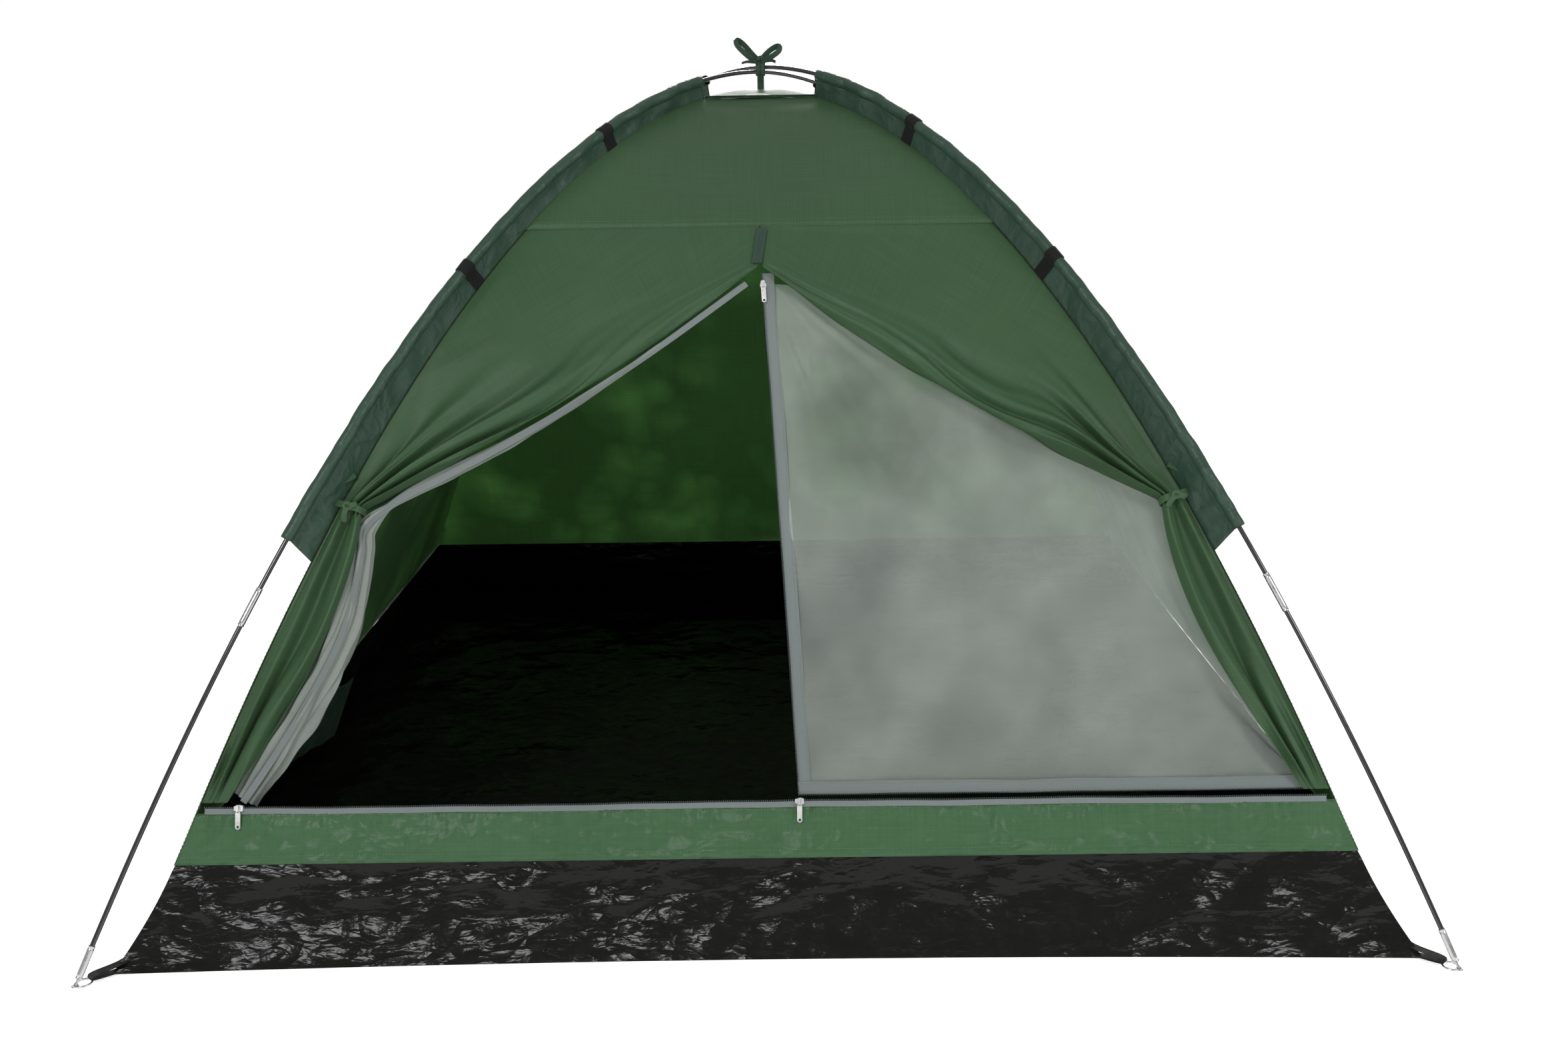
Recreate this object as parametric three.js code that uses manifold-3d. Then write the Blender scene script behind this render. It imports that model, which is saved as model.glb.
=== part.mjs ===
// Two-pole dome tent with a split door, one half open, standing on its floor.
// Millimetres, +Z up. The origin is the centre of the floor's underside, and the door faces -Y.
import * as THREE from 'three';
import { mergeVertices } from 'three/addons/utils/BufferGeometryUtils.js';
import Module from 'manifold-3d';

const wasm = await Module();
wasm.setup();

// ---------------------------------------------------------------- driving dimensions
const CANOPY_HALF = 985; // half the floor's side, to the canopy's corner seam at the ground
const CANOPY_HEIGHT = 1325; // fabric peak above the ground
const CANOPY_CURVE = 1.95; // exponent of the corner seam's arch
const FABRIC = 2; // thickness that stands for one layer of canopy cloth
const SEAM_GAP = 0.6; // clearance between two sewn panels

const POLE_DIAMETER = 7.9;
const POLE_FOOT_OFFSET = 66; // how far a pole's foot stands out from the canopy's corner, in X and Y
const CROWN_GAP = 37; // from the fabric peak up to the middle of the crossing poles
const POLE_CURVE = 1.9; // exponent of the pole's arch
const POLE_SECTIONS = 7; // rods in each shock-corded pole
const ROD_GAP = 0.4; // between two rods that butt inside a ferrule
const CROSSING_GAP = 0.8; // between the two poles where they cross

const FERRULE_LENGTH = 66;
const FERRULE_WALL = 1.0;
const SLIP_GAP = 0.3; // radial clearance of a ferrule, a tip or a pin
const TIP_LENGTH = 52;
const TIP_GRIP = 26; // the stretch of a tip that holds its rod
const FOOT_CLEAR = 42; // from a rod's end down to the foot of the pole, along the pole

const PIN_DIAMETER = 4.4;
const RING_RADIUS = 12; // to the middle of the ring's wire
const RING_WIRE = 3.2;
const STRAP_WIDTH = 16;
const STRAP_THICKNESS = 1.4;
const STRAP_CLEAR = 0.6;
const STRAP_RAMP = 8; // over which the strap's upper layer comes down to the lower one

const SLEEVE_TOP_HALF = 112; // where a sleeve starts, out from the crossing in X and Y
const SLEEVE_END_HEIGHT = 618; // its lower end above the ground
const SLEEVE_WALL = 1.4;
const SLEEVE_CLEAR = 1.2; // between a ferrule and the sleeve's tunnel
const SLEEVE_FIN = 2.4; // thickness of the flap between tunnel and canopy

const FLOOR_THICKNESS = 2;
const TUB_HEIGHT = 145; // the floor cloth's upstand
const EDGE_PULL = 20; // how far the floor's edges curve in between the corners, at the ground
const EDGE_PULL_KEPT = 0.2; // the share of that left at the top of the upstand
const FLOOR_FLARE = 26; // how far the floor reaches out past the canopy's arch, at the ground

const VENT_HALF = 105; // half the side of the net panel at the peak
const SILL_HEIGHT = 222; // the zip along the foot of the door
const ZIP_SLOT = 18; // height of the slot that the sill zip leaves between two panels
const GABLE_DROP = 240; // from the peak down to the seam across the front
const APEX_DROP = 305; // from the peak down to the top of the door
const TIE_HEIGHT = 655; // where each curtain is tied back
const TIE_INSET = 38; // from the corner seam in to the tied waist of a curtain
const CURTAIN_FOOT = 44; // width of a curtain's foot at the sill
const CURTAIN_SWELL = 26; // how far the fallen cloth bows in between the tie and its foot
const CURTAIN_BULGE = 9; // how far the gathered curtain stands out from the wall
const CURTAIN_CORNER_GAP = 3; // keeps the bulge clear of the sleeves
const DOOR_SKEW = 55; // how far the foot of the centre zip lies to the right of its top

const NET_THICKNESS = 1.5;
const NET_CORNER = 26; // from the corner seam in to the net leaf's far corner
const NET_HEAD = { x: 4, drop: 6 }; // the leaf's top, from the door's apex
const NET_INSET = 12; // the net hangs this far inside the outer face of the wall
const ROLL_RADIUS = 15; // the net half that is rolled away
const ROLL_INSET = 24;
const ROLL_ENDS = { top: 6, foot: 4 }; // the roll's ends, from the curtain's edge
const ROLL_FULLNESS = [0.55, 0.9, 1, 1, 0.8]; // shares of its radius, from the tie to the sill

const SLIDER = { length: 14, height: 11, depth: 5 };
const SLIDER_GAP = 1.2;
const PULL = { length: 33, width: 8, thickness: 1.6, hole: 2.2, bar: 1.3 };
const PULL_GAP = 0.5;
const PULL_REST = 1; // between a hanging pull's end and the wall behind it
const BAIL = { span: 8, width: 2.2, rise: 4, wall: 1.4 };
const LEFT_SLIDER_X = 830; // where the left sill slider is parked
const APEX_SLIDER_DROP = 22; // the door slider's place below the top of the zip

const TAPE_WIDTH = 18; // crown tie
const TAPE_THICKNESS = 1.5;
const BOW_LEFT = { reach: 46, rise: 40, height: 22 };
const BOW_RIGHT = { reach: 38, rise: 27, height: 20 };
const BOW_WIDTH = 0.45; // share of the tape's width left where it is bunched in the bow
const KNOT = { width: 15, height: 13, depth: 9 };

// ---------------------------------------------------------------- sizes worked out from those
const POLE_FOOT_HALF = CANOPY_HALF + POLE_FOOT_OFFSET;
const POLE_HEIGHT = CANOPY_HEIGHT + CROWN_GAP;
const POLE_RADIUS = POLE_DIAMETER / 2;
const FERRULE_INNER = POLE_RADIUS + SLIP_GAP;
const FERRULE_OUTER = FERRULE_INNER + FERRULE_WALL;
const TUNNEL_INNER = FERRULE_OUTER + SLEEVE_CLEAR;
const TUNNEL_OUTER = TUNNEL_INNER + SLEEVE_WALL;
const POLE_LIFT = (POLE_DIAMETER + CROSSING_GAP) / 2; // one pole up, the other down by this
const GABLE_SEAM = CANOPY_HEIGHT - GABLE_DROP;
const APEX_HEIGHT = CANOPY_HEIGHT - APEX_DROP;
const RING_HEIGHT = RING_WIRE / 2 + STRAP_THICKNESS + STRAP_CLEAR + 0.3; // wire above the ground

const WALL_BOTTOM = TUB_HEIGHT + FABRIC + SEAM_GAP;
const VENT_EDGE = VENT_HALF - FABRIC - SEAM_GAP;

const ROOT2 = Math.SQRT2;
const ROUND_SIDES = 8;

// ---------------------------------------------------------------- materials
function cloth(color, roughness) {
  return new THREE.MeshStandardMaterial({ color, roughness, metalness: 0 });
}

function metal(color, roughness) {
  return new THREE.MeshStandardMaterial({ color, roughness, metalness: 0.9 });
}

const canopyCloth = () => cloth(0x42623f, 0.6);
const sleeveCloth = () => cloth(0x33473d, 0.65);
const sillCloth = () => cloth(0x4e7c54, 0.55);
const floorCloth = () => cloth(0x1f1f1b, 0.3);
const netCloth = () => cloth(0x7a877c, 0.8);
const blackWebbing = () => cloth(0x15161a, 0.8);
const fibreglass = () => cloth(0x2b2a26, 0.2);
const steel = () => metal(0xd6d6d2, 0.25);
const paintedMetal = () => metal(0xe6e6e2, 0.4);

// ---------------------------------------------------------------- solids from points
// Turns a closed set of triangles into a geometry whose faces point outwards.
function closedGeometry(points, faces) {
  let volume = 0;
  for (const [a, b, c] of faces) {
    volume += points[a].dot(new THREE.Vector3().crossVectors(points[b], points[c]));
  }
  const index = faces.flatMap(([a, b, c]) => (volume > 0 ? [a, b, c] : [a, c, b]));
  const geometry = new THREE.BufferGeometry();
  geometry.setAttribute(
    'position',
    new THREE.Float32BufferAttribute(points.flatMap((p) => [p.x, p.y, p.z]), 3),
  );
  geometry.setIndex(index);
  geometry.computeVertexNormals();
  return geometry;
}

// A sheet with a thickness: two grids of points with the same rows and columns, joined at the rim.
function sheetBetween(outer, inner) {
  const rows = outer.length;
  const columns = outer[0].length;
  const layer = rows * columns;
  const points = [...outer.flat(), ...inner.flat()];
  const faces = [];
  const quad = (a, b, c, d) => faces.push([a, b, c], [a, c, d]);
  for (let r = 0; r + 1 < rows; r += 1) {
    for (let c = 0; c + 1 < columns; c += 1) {
      const at = r * columns + c;
      quad(at, at + 1, at + columns + 1, at + columns);
      quad(layer + at, layer + at + columns, layer + at + columns + 1, layer + at + 1);
    }
  }
  const rim = [];
  for (let c = 0; c + 1 < columns; c += 1) rim.push(c);
  for (let r = 0; r + 1 < rows; r += 1) rim.push(r * columns + columns - 1);
  for (let c = columns - 1; c > 0; c -= 1) rim.push((rows - 1) * columns + c);
  for (let r = rows - 1; r > 0; r -= 1) rim.push(r * columns);
  rim.forEach((a, i) => {
    const b = rim[(i + 1) % rim.length];
    quad(b, a, layer + a, layer + b);
  });
  return closedGeometry(points, faces);
}

// A section carried along stations { origin, u, v }. Each section is { contour, hole } in (u, v).
function sweep(stations, sectionAt) {
  const points = [];
  const faces = [];
  const sections = stations.map((station, i) => sectionAt(i));
  const { contour, hole = [] } = sections[0];
  const outerCount = contour.length;
  const count = outerCount + hole.length;
  stations.forEach(({ origin, u, v }, i) => {
    for (const [a, b] of [...sections[i].contour, ...(sections[i].hole ?? [])]) {
      points.push(origin.clone().addScaledVector(u, a).addScaledVector(v, b));
    }
  });
  const wall = (first, size) => {
    for (let i = 0; i + 1 < stations.length; i += 1) {
      for (let k = 0; k < size; k += 1) {
        const a = i * count + first + k;
        const b = i * count + first + ((k + 1) % size);
        faces.push([a, b, b + count], [a, b + count, a + count]);
      }
    }
  };
  wall(0, outerCount);
  if (hole.length) wall(outerCount, hole.length);
  const cap = (i) => {
    const flat = (list) => list.map(([a, b]) => new THREE.Vector2(a, b));
    const rings = hole.length ? [flat(sections[i].hole)] : [];
    return THREE.ShapeUtils.triangulateShape(flat(sections[i].contour), rings);
  };
  const last = (stations.length - 1) * count;
  faces.push(...cap(0), ...cap(stations.length - 1).map((face) => face.map((k) => last + k)));
  return closedGeometry(points, orientedLike(faces));
}

// Gives neighbouring triangles the same sense of turn, starting from the first one.
function orientedLike(faces) {
  const edges = new Map();
  faces.forEach((face, f) => {
    for (let k = 0; k < 3; k += 1) {
      const [a, b] = [face[k], face[(k + 1) % 3]];
      const key = a < b ? `${a}_${b}` : `${b}_${a}`;
      if (!edges.has(key)) edges.set(key, []);
      edges.get(key).push({ f, forward: a < b });
    }
  });
  const done = new Map([[0, false]]);
  const queue = [0];
  while (queue.length) {
    const f = queue.pop();
    const face = faces[f];
    for (let k = 0; k < 3; k += 1) {
      const [a, b] = [face[k], face[(k + 1) % 3]];
      const key = a < b ? `${a}_${b}` : `${b}_${a}`;
      const mine = edges.get(key).find((e) => e.f === f);
      for (const other of edges.get(key)) {
        if (other.f !== f && !done.has(other.f)) {
          done.set(other.f, (mine.forward === other.forward) !== done.get(f));
          queue.push(other.f);
        }
      }
    }
  }
  return faces.map(([a, b, c], f) => (done.get(f) ? [c, b, a] : [a, b, c]));
}

function circle(radius, sides = ROUND_SIDES) {
  return Array.from({ length: sides }, (_, k) => {
    const angle = (2 * Math.PI * (k + 0.5)) / sides;
    return [radius * Math.cos(angle), radius * Math.sin(angle)];
  });
}

// ---------------------------------------------------------------- joining solids
function solidOf(geometry) {
  const bare = geometry.clone();
  bare.deleteAttribute('normal');
  bare.deleteAttribute('uv');
  const merged = mergeVertices(bare, 1e-4);
  return new wasm.Manifold(new wasm.Mesh({
    numProp: 3,
    vertProperties: new Float32Array(merged.attributes.position.array),
    triVerts: new Uint32Array(merged.index.array),
  }));
}

function geometryOf(solid) {
  const { vertProperties, triVerts } = solid.getMesh();
  const geometry = new THREE.BufferGeometry();
  geometry.setAttribute('position', new THREE.BufferAttribute(new Float32Array(vertProperties), 3));
  geometry.setIndex(new THREE.BufferAttribute(new Uint32Array(triVerts), 1));
  geometry.computeVertexNormals();
  return geometry;
}

function joined(...geometries) {
  return geometryOf(geometries.map(solidOf).reduce((all, one) => all.add(one)));
}

// ---------------------------------------------------------------- the canopy's shape
// Half width of the canopy at a height. All four walls follow this one arch.
function canopyHalf(z) {
  return CANOPY_HALF * (1 - z / CANOPY_HEIGHT) ** (1 / CANOPY_CURVE);
}

function canopyHeightAt(half) {
  return CANOPY_HEIGHT * (1 - (half / CANOPY_HALF) ** CANOPY_CURVE);
}

function canopySlope(z) {
  return -canopyHalf(z) / (CANOPY_CURVE * (CANOPY_HEIGHT - z));
}

// A point of the wall that faces -Y, pushed in from its outer face by a depth.
function wallPoint(x, z, depth) {
  const slope = canopySlope(z);
  const length = Math.hypot(1, slope);
  return new THREE.Vector3(x, -canopyHalf(z) + depth / length, z + (depth * slope) / length);
}

// How far a wall reaches sideways at that depth before it meets the next wall's mitre.
function mitre(z, depth, gap) {
  return -wallPoint(0, z, depth).y - gap;
}

// Heights from bottom to top, closer together where the arch bends more.
function heights(bottom, top, steps) {
  const low = canopyHalf(bottom);
  const high = canopyHalf(top);
  return Array.from({ length: steps + 1 }, (_, i) => {
    const share = i / steps;
    const byHeight = bottom + share * (top - bottom);
    const byWidth = canopyHeightAt(low + share * (high - low));
    return i === 0 ? bottom : i === steps ? top : (byHeight + byWidth) / 2;
  });
}

// A panel of the -Y wall. leftOf and rightOf give its side edges from the height and the mitre.
function wallPanel({ rows, columns, leftOf, rightOf, outer, inner, gap }) {
  const layer = (depth) => rows.map((z) => {
    const limit = mitre(z, depth, gap);
    const left = leftOf(z, limit);
    const right = rightOf(z, limit);
    return Array.from({ length: columns + 1 }, (_, c) => (
      wallPoint(left + ((right - left) * c) / columns, z, depth)));
  });
  return sheetBetween(layer(outer), layer(inner));
}

function fullPanel(bottom, top, steps) {
  return wallPanel({
    rows: heights(bottom, top, steps),
    columns: 4,
    leftOf: (z, limit) => -limit,
    rightOf: (z, limit) => limit,
    outer: 0,
    inner: FABRIC,
    gap: SEAM_GAP,
  });
}

// ---------------------------------------------------------------- the poles' shape
function poleHeightAt(half, lift) {
  return (POLE_HEIGHT + lift) * (1 - (Math.abs(half) / POLE_FOOT_HALF) ** POLE_CURVE);
}

// The arch of one pole as evenly spaced points: { along, run, z }, where run is the level
// distance from the crossing, negative on one side.
function poleArch(lift) {
  const steps = 2000;
  const points = [];
  let along = 0;
  for (let i = 0; i <= steps; i += 1) {
    const half = POLE_FOOT_HALF * Math.sin((Math.PI * (i / steps - 0.5)));
    const point = { run: half * ROOT2, z: poleHeightAt(half, lift) };
    const before = points[points.length - 1];
    if (before) along += Math.hypot(point.run - before.run, point.z - before.z);
    points.push({ ...point, along });
  }
  return points;
}

function archLength(arch) {
  return arch[arch.length - 1].along;
}

// Where the pole is at a distance along it.
function archAt(arch, along) {
  let low = 0;
  let high = arch.length - 1;
  while (high - low > 1) {
    const middle = (low + high) >> 1;
    if (arch[middle].along > along) high = middle;
    else low = middle;
  }
  const [a, b] = [arch[low], arch[high]];
  const share = (along - a.along) / (b.along - a.along);
  return { run: a.run + share * (b.run - a.run), z: a.z + share * (b.z - a.z) };
}

// A station on a pole that stands in the X-Z plane: u points out of the arch, v along +Y.
function poleStation(arch, along) {
  const reach = 4;
  const end = archLength(arch);
  const here = archAt(arch, along);
  const before = archAt(arch, Math.max(0, along - reach));
  const after = archAt(arch, Math.min(end, along + reach));
  const tangent = new THREE.Vector3(after.run - before.run, 0, after.z - before.z).normalize();
  return {
    origin: new THREE.Vector3(here.run, 0, here.z),
    u: new THREE.Vector3(-tangent.z, 0, tangent.x),
    v: new THREE.Vector3(0, 1, 0),
  };
}

// Distances from start to end, with extra stations where ferrules begin and end.
function stops(start, end, margin, steps) {
  const inside = Array.from({ length: steps + 1 }, (_, i) => (
    start + margin + ((end - start - 2 * margin) * i) / steps));
  return [start, ...inside, end];
}

function rodStops(start, end) {
  return stops(start, end, FERRULE_LENGTH / 2, 6);
}

function rod(arch, start, end) {
  const stations = rodStops(start, end).map((s) => poleStation(arch, s));
  return sweep(stations, () => ({ contour: circle(POLE_RADIUS) }));
}

function ferrule(arch, joint) {
  const reach = FERRULE_LENGTH / 2;
  const stations = [joint - reach, joint, joint + reach].map((s) => poleStation(arch, s));
  return sweep(stations, () => ({
    contour: circle(FERRULE_OUTER),
    hole: circle(FERRULE_INNER),
  }));
}

// The steel socket on the end of a pole. It holds the rod and takes the corner's pin.
function tip(arch, rodEnd, outwards) {
  const start = rodEnd - outwards * TIP_GRIP;
  const stations = [start, rodEnd, start + outwards * TIP_LENGTH];
  return sweep(stations.map((s) => poleStation(arch, s)), () => ({
    contour: circle(FERRULE_OUTER),
    hole: circle(FERRULE_INNER),
  }));
}

// The pin in a pole's end and the ring at its foot, for the pole's +run end.
function cornerPin(arch) {
  const end = archLength(arch);
  const footHeight = RING_HEIGHT;
  let footAlong = end;
  while (archAt(arch, footAlong).z < footHeight) footAlong -= 0.5;
  const stations = [end - FOOT_CLEAR + 3, footAlong].map((s) => poleStation(arch, s));
  const shank = sweep(stations, () => ({ contour: circle(PIN_DIAMETER / 2, 8) }));
  const ring = new THREE.TorusGeometry(RING_RADIUS, RING_WIRE / 2, 6, 16);
  ring.translate(archAt(arch, footAlong).run - RING_RADIUS, 0, footHeight);
  return joined(shank, ring);
}

// Webbing from the floor's corner, doubled round the ring's inner wire.
function cornerStrap(arch) {
  const end = archLength(arch);
  let footAlong = end;
  while (archAt(arch, footAlong).z < RING_HEIGHT) footAlong -= 0.5;
  const wire = archAt(arch, footAlong).run - 2 * RING_RADIUS;
  const corner = (CANOPY_HALF + FLOOR_FLARE) * ROOT2 + SEAM_GAP;
  const halfOpening = RING_WIRE / 2 + STRAP_CLEAR;
  const bow = RING_RADIUS - Math.sqrt(RING_RADIUS ** 2 - (STRAP_WIDTH / 2) ** 2);
  const endX = wire + bow + STRAP_CLEAR;
  const shape = new THREE.Shape();
  const outerHalf = halfOpening + STRAP_THICKNESS;
  shape.moveTo(corner, -outerHalf);
  shape.lineTo(endX, -outerHalf);
  shape.absarc(endX, 0, outerHalf, -Math.PI / 2, Math.PI / 2, false);
  shape.lineTo(corner + STRAP_RAMP, outerHalf);
  shape.lineTo(corner, -outerHalf + 2 * STRAP_THICKNESS);
  shape.closePath();
  const eye = new THREE.Path();
  const startX = wire - RING_WIRE;
  eye.moveTo(startX, halfOpening);
  eye.lineTo(endX, halfOpening);
  eye.absarc(endX, 0, halfOpening, Math.PI / 2, -Math.PI / 2, true);
  eye.lineTo(startX, -halfOpening);
  eye.closePath();
  shape.holes.push(eye);
  const options = { depth: STRAP_WIDTH, bevelEnabled: false, curveSegments: 5 };
  const strap = new THREE.ExtrudeGeometry(shape, options);
  strap.translate(0, 0, -STRAP_WIDTH / 2);
  strap.rotateX(Math.PI / 2);
  strap.translate(0, 0, RING_HEIGHT);
  return geometryOf(solidOf(strap));
}

// The place along the pole where rod i begins.
function jointAt(arch, i) {
  return FOOT_CLEAR + ((archLength(arch) - 2 * FOOT_CLEAR) * i) / POLE_SECTIONS;
}

// Every stop of every rod, so that what lies round the pole bends where the rods bend.
function allRodStops(arch) {
  return Array.from({ length: POLE_SECTIONS }, (_, i) => (
    rodStops(jointAt(arch, i), jointAt(arch, i + 1)).slice(0, -1))).flat();
}

// ---------------------------------------------------------------- pole sleeves
// Distance from a pole's station in to the canopy's corner seam, against u.
function finReach(station) {
  let low = 0;
  let high = 200;
  for (let i = 0; i < 40; i += 1) {
    const middle = (low + high) / 2;
    const p = station.origin.clone().addScaledVector(station.u, -middle);
    const inside = p.z < canopyHeightAt(Math.abs(p.x) / ROOT2);
    if (inside) high = middle;
    else low = middle;
  }
  return low;
}

// A sleeve on the +run side: a tunnel round the pole and a flap sewn to the corner seam.
function sleeve(arch) {
  const end = archLength(arch);
  let top = end / 2;
  while (archAt(arch, top).run < SLEEVE_TOP_HALF * ROOT2) top += 1;
  let bottom = top;
  while (archAt(arch, bottom).z > SLEEVE_END_HEIGHT) bottom += 1;
  const near = 8;
  const shared = allRodStops(arch).filter((s) => s > top + near && s < bottom - near);
  const stations = [top, ...shared, bottom].map((s) => poleStation(arch, s));
  const half = SLEEVE_FIN / 2;
  const spread = Math.asin(half / TUNNEL_OUTER);
  const around = 7;
  return sweep(stations, (i) => {
    const contour = Array.from({ length: around + 1 }, (_, k) => {
      const angle = -Math.PI + spread + ((2 * Math.PI - 2 * spread) * k) / around;
      return [TUNNEL_OUTER * Math.cos(angle), TUNNEL_OUTER * Math.sin(angle)];
    });
    const reach = finReach(stations[i]) - 2 * SEAM_GAP - half;
    contour.push([-reach, half], [-reach, -half]);
    return { contour, hole: circle(TUNNEL_INNER) };
  });
}

// ---------------------------------------------------------------- floor
// The floor cloth with its upstand, a shallow tub of one thickness.
function groundsheet() {
  const perSide = 8;
  const levels = [0, TUB_HEIGHT / 3, (2 * TUB_HEIGHT) / 3, TUB_HEIGHT];
  const ring = (z, inset) => {
    const lift = z / TUB_HEIGHT;
    const half = canopyHalf(z) - inset + FLOOR_FLARE * (1 - lift) ** 2;
    const pull = EDGE_PULL * (1 - (1 - EDGE_PULL_KEPT) * lift);
    const points = [];
    for (let side = 0; side < 4; side += 1) {
      for (let k = 0; k < perSide; k += 1) {
        const share = (2 * k) / perSide - 1;
        const depth = half - pull * (1 - share * share);
        const point = new THREE.Vector3(share * half, -depth, z);
        points.push(point.applyAxisAngle(new THREE.Vector3(0, 0, 1), (side * Math.PI) / 2));
      }
    }
    return points;
  };
  const count = 4 * perSide;
  const inside = levels.map((z, i) => (i === 0 ? FLOOR_THICKNESS : z)).reverse();
  const rings = [...levels.map((z) => ring(z, 0)), ...inside.map((z) => ring(z, FLOOR_THICKNESS))];
  const faces = [];
  for (let r = 0; r + 1 < rings.length; r += 1) {
    for (let k = 0; k < count; k += 1) {
      const a = r * count + k;
      const b = r * count + ((k + 1) % count);
      faces.push([a, b, b + count], [a, b + count, a + count]);
    }
  }
  const cap = (r) => THREE.ShapeUtils.triangulateShape(
    rings[r].map((p) => new THREE.Vector2(p.x, p.y)),
    [],
  ).map((face) => face.map((k) => r * count + k));
  faces.push(...cap(0).map(([a, b, c]) => [c, b, a]), ...cap(rings.length - 1));
  return closedGeometry(rings.flat(), faces);
}

// ---------------------------------------------------------------- front panels
function sillPanel() {
  return fullPanel(WALL_BOTTOM, SILL_HEIGHT - ZIP_SLOT / 2, 2);
}

// The inner edge of the right curtain: down from the door's top to the tied waist, then along
// the corner seam to the sill.
function curtainEdge(z) {
  const waist = canopyHalf(TIE_HEIGHT) - TIE_INSET;
  if (z >= APEX_HEIGHT) return SEAM_GAP;
  if (z >= TIE_HEIGHT) {
    return SEAM_GAP + ((waist - SEAM_GAP) * (APEX_HEIGHT - z)) / (APEX_HEIGHT - TIE_HEIGHT);
  }
  const share = (TIE_HEIGHT - z) / (TIE_HEIGHT - SILL_HEIGHT);
  const foot = canopyHalf(SILL_HEIGHT) - CURTAIN_FOOT;
  const swell = CURTAIN_SWELL * Math.sin(Math.PI * share);
  return waist + (foot - waist) * share - swell;
}

// side is 1 for the right curtain and -1 for the left one.
function curtain(side) {
  const bottom = SILL_HEIGHT + ZIP_SLOT / 2;
  const rows = [
    ...heights(bottom, TIE_HEIGHT, 5).slice(0, -1),
    ...heights(TIE_HEIGHT, APEX_HEIGHT, 6).slice(0, -1),
    APEX_HEIGHT,
    GABLE_SEAM - SEAM_GAP,
  ];
  return wallPanel({
    rows,
    columns: 3,
    leftOf: (z, limit) => (side > 0 ? curtainEdge(z) : -limit),
    rightOf: (z, limit) => (side > 0 ? limit : -curtainEdge(z)),
    outer: -CURTAIN_BULGE,
    inner: FABRIC,
    gap: CURTAIN_CORNER_GAP + SEAM_GAP,
  });
}

// ---------------------------------------------------------------- net door
const doorTop = wallPoint(NET_HEAD.x, APEX_HEIGHT - NET_HEAD.drop, NET_INSET);
const doorFoot = wallPoint(DOOR_SKEW, SILL_HEIGHT + ZIP_SLOT / 2, NET_INSET);
const doorCorner = wallPoint(
  canopyHalf(SILL_HEIGHT) - NET_CORNER,
  SILL_HEIGHT + ZIP_SLOT / 2,
  NET_INSET,
);

// The net leaf that swings: a flat triangle between the door's top, its foot and the far corner.
function netLeaf() {
  const across = doorFoot.clone().sub(doorTop);
  const along = doorCorner.clone().sub(doorTop);
  const normal = new THREE.Vector3().crossVectors(across, along).normalize();
  const half = NET_THICKNESS / 2;
  const rows = 6;
  const layer = (offset) => Array.from({ length: rows }, (_, r) => {
    const share = 0.03 + (0.97 * r) / (rows - 1);
    const left = doorTop.clone().addScaledVector(across, share);
    const right = doorTop.clone().addScaledVector(along, share);
    return [0, 1 / 3, 2 / 3, 1].map((f) => (
      left.clone().lerp(right, f).addScaledVector(normal, offset)));
  });
  return sheetBetween(layer(half), layer(-half));
}

// The other net half, rolled up along the open edge of the door.
function netRoll() {
  const top = wallPoint(-(canopyHalf(TIE_HEIGHT) - TIE_INSET - ROLL_ENDS.top), TIE_HEIGHT, ROLL_INSET);
  const foot = wallPoint(
    -(canopyHalf(SILL_HEIGHT) - CURTAIN_FOOT + ROLL_ENDS.foot),
    SILL_HEIGHT + ZIP_SLOT,
    ROLL_INSET,
  );
  const direction = foot.clone().sub(top).normalize();
  const u = new THREE.Vector3(1, 0, 0).addScaledVector(direction, -direction.x).normalize();
  const v = new THREE.Vector3().crossVectors(direction, u);
  const stations = ROLL_FULLNESS.map((_, i) => ({
    origin: top.clone().lerp(foot, i / (ROLL_FULLNESS.length - 1)),
    u,
    v,
  }));
  return sweep(stations, (i) => ({ contour: circle(ROLL_RADIUS * ROLL_FULLNESS[i]) }));
}

// ---------------------------------------------------------------- peak
function roofVent() {
  const steps = 4;
  const layer = (depth) => Array.from({ length: 2 * steps + 1 }, (_, r) => (
    Array.from({ length: 2 * steps + 1 }, (_, c) => {
      const x = (VENT_EDGE * (c - steps)) / steps;
      const y = (VENT_EDGE * (r - steps)) / steps;
      const half = Math.max(Math.abs(x), Math.abs(y));
      return new THREE.Vector3(x, y, canopyHeightAt(half) - depth);
    })));
  return sheetBetween(layer(0), layer(FABRIC));
}

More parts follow.
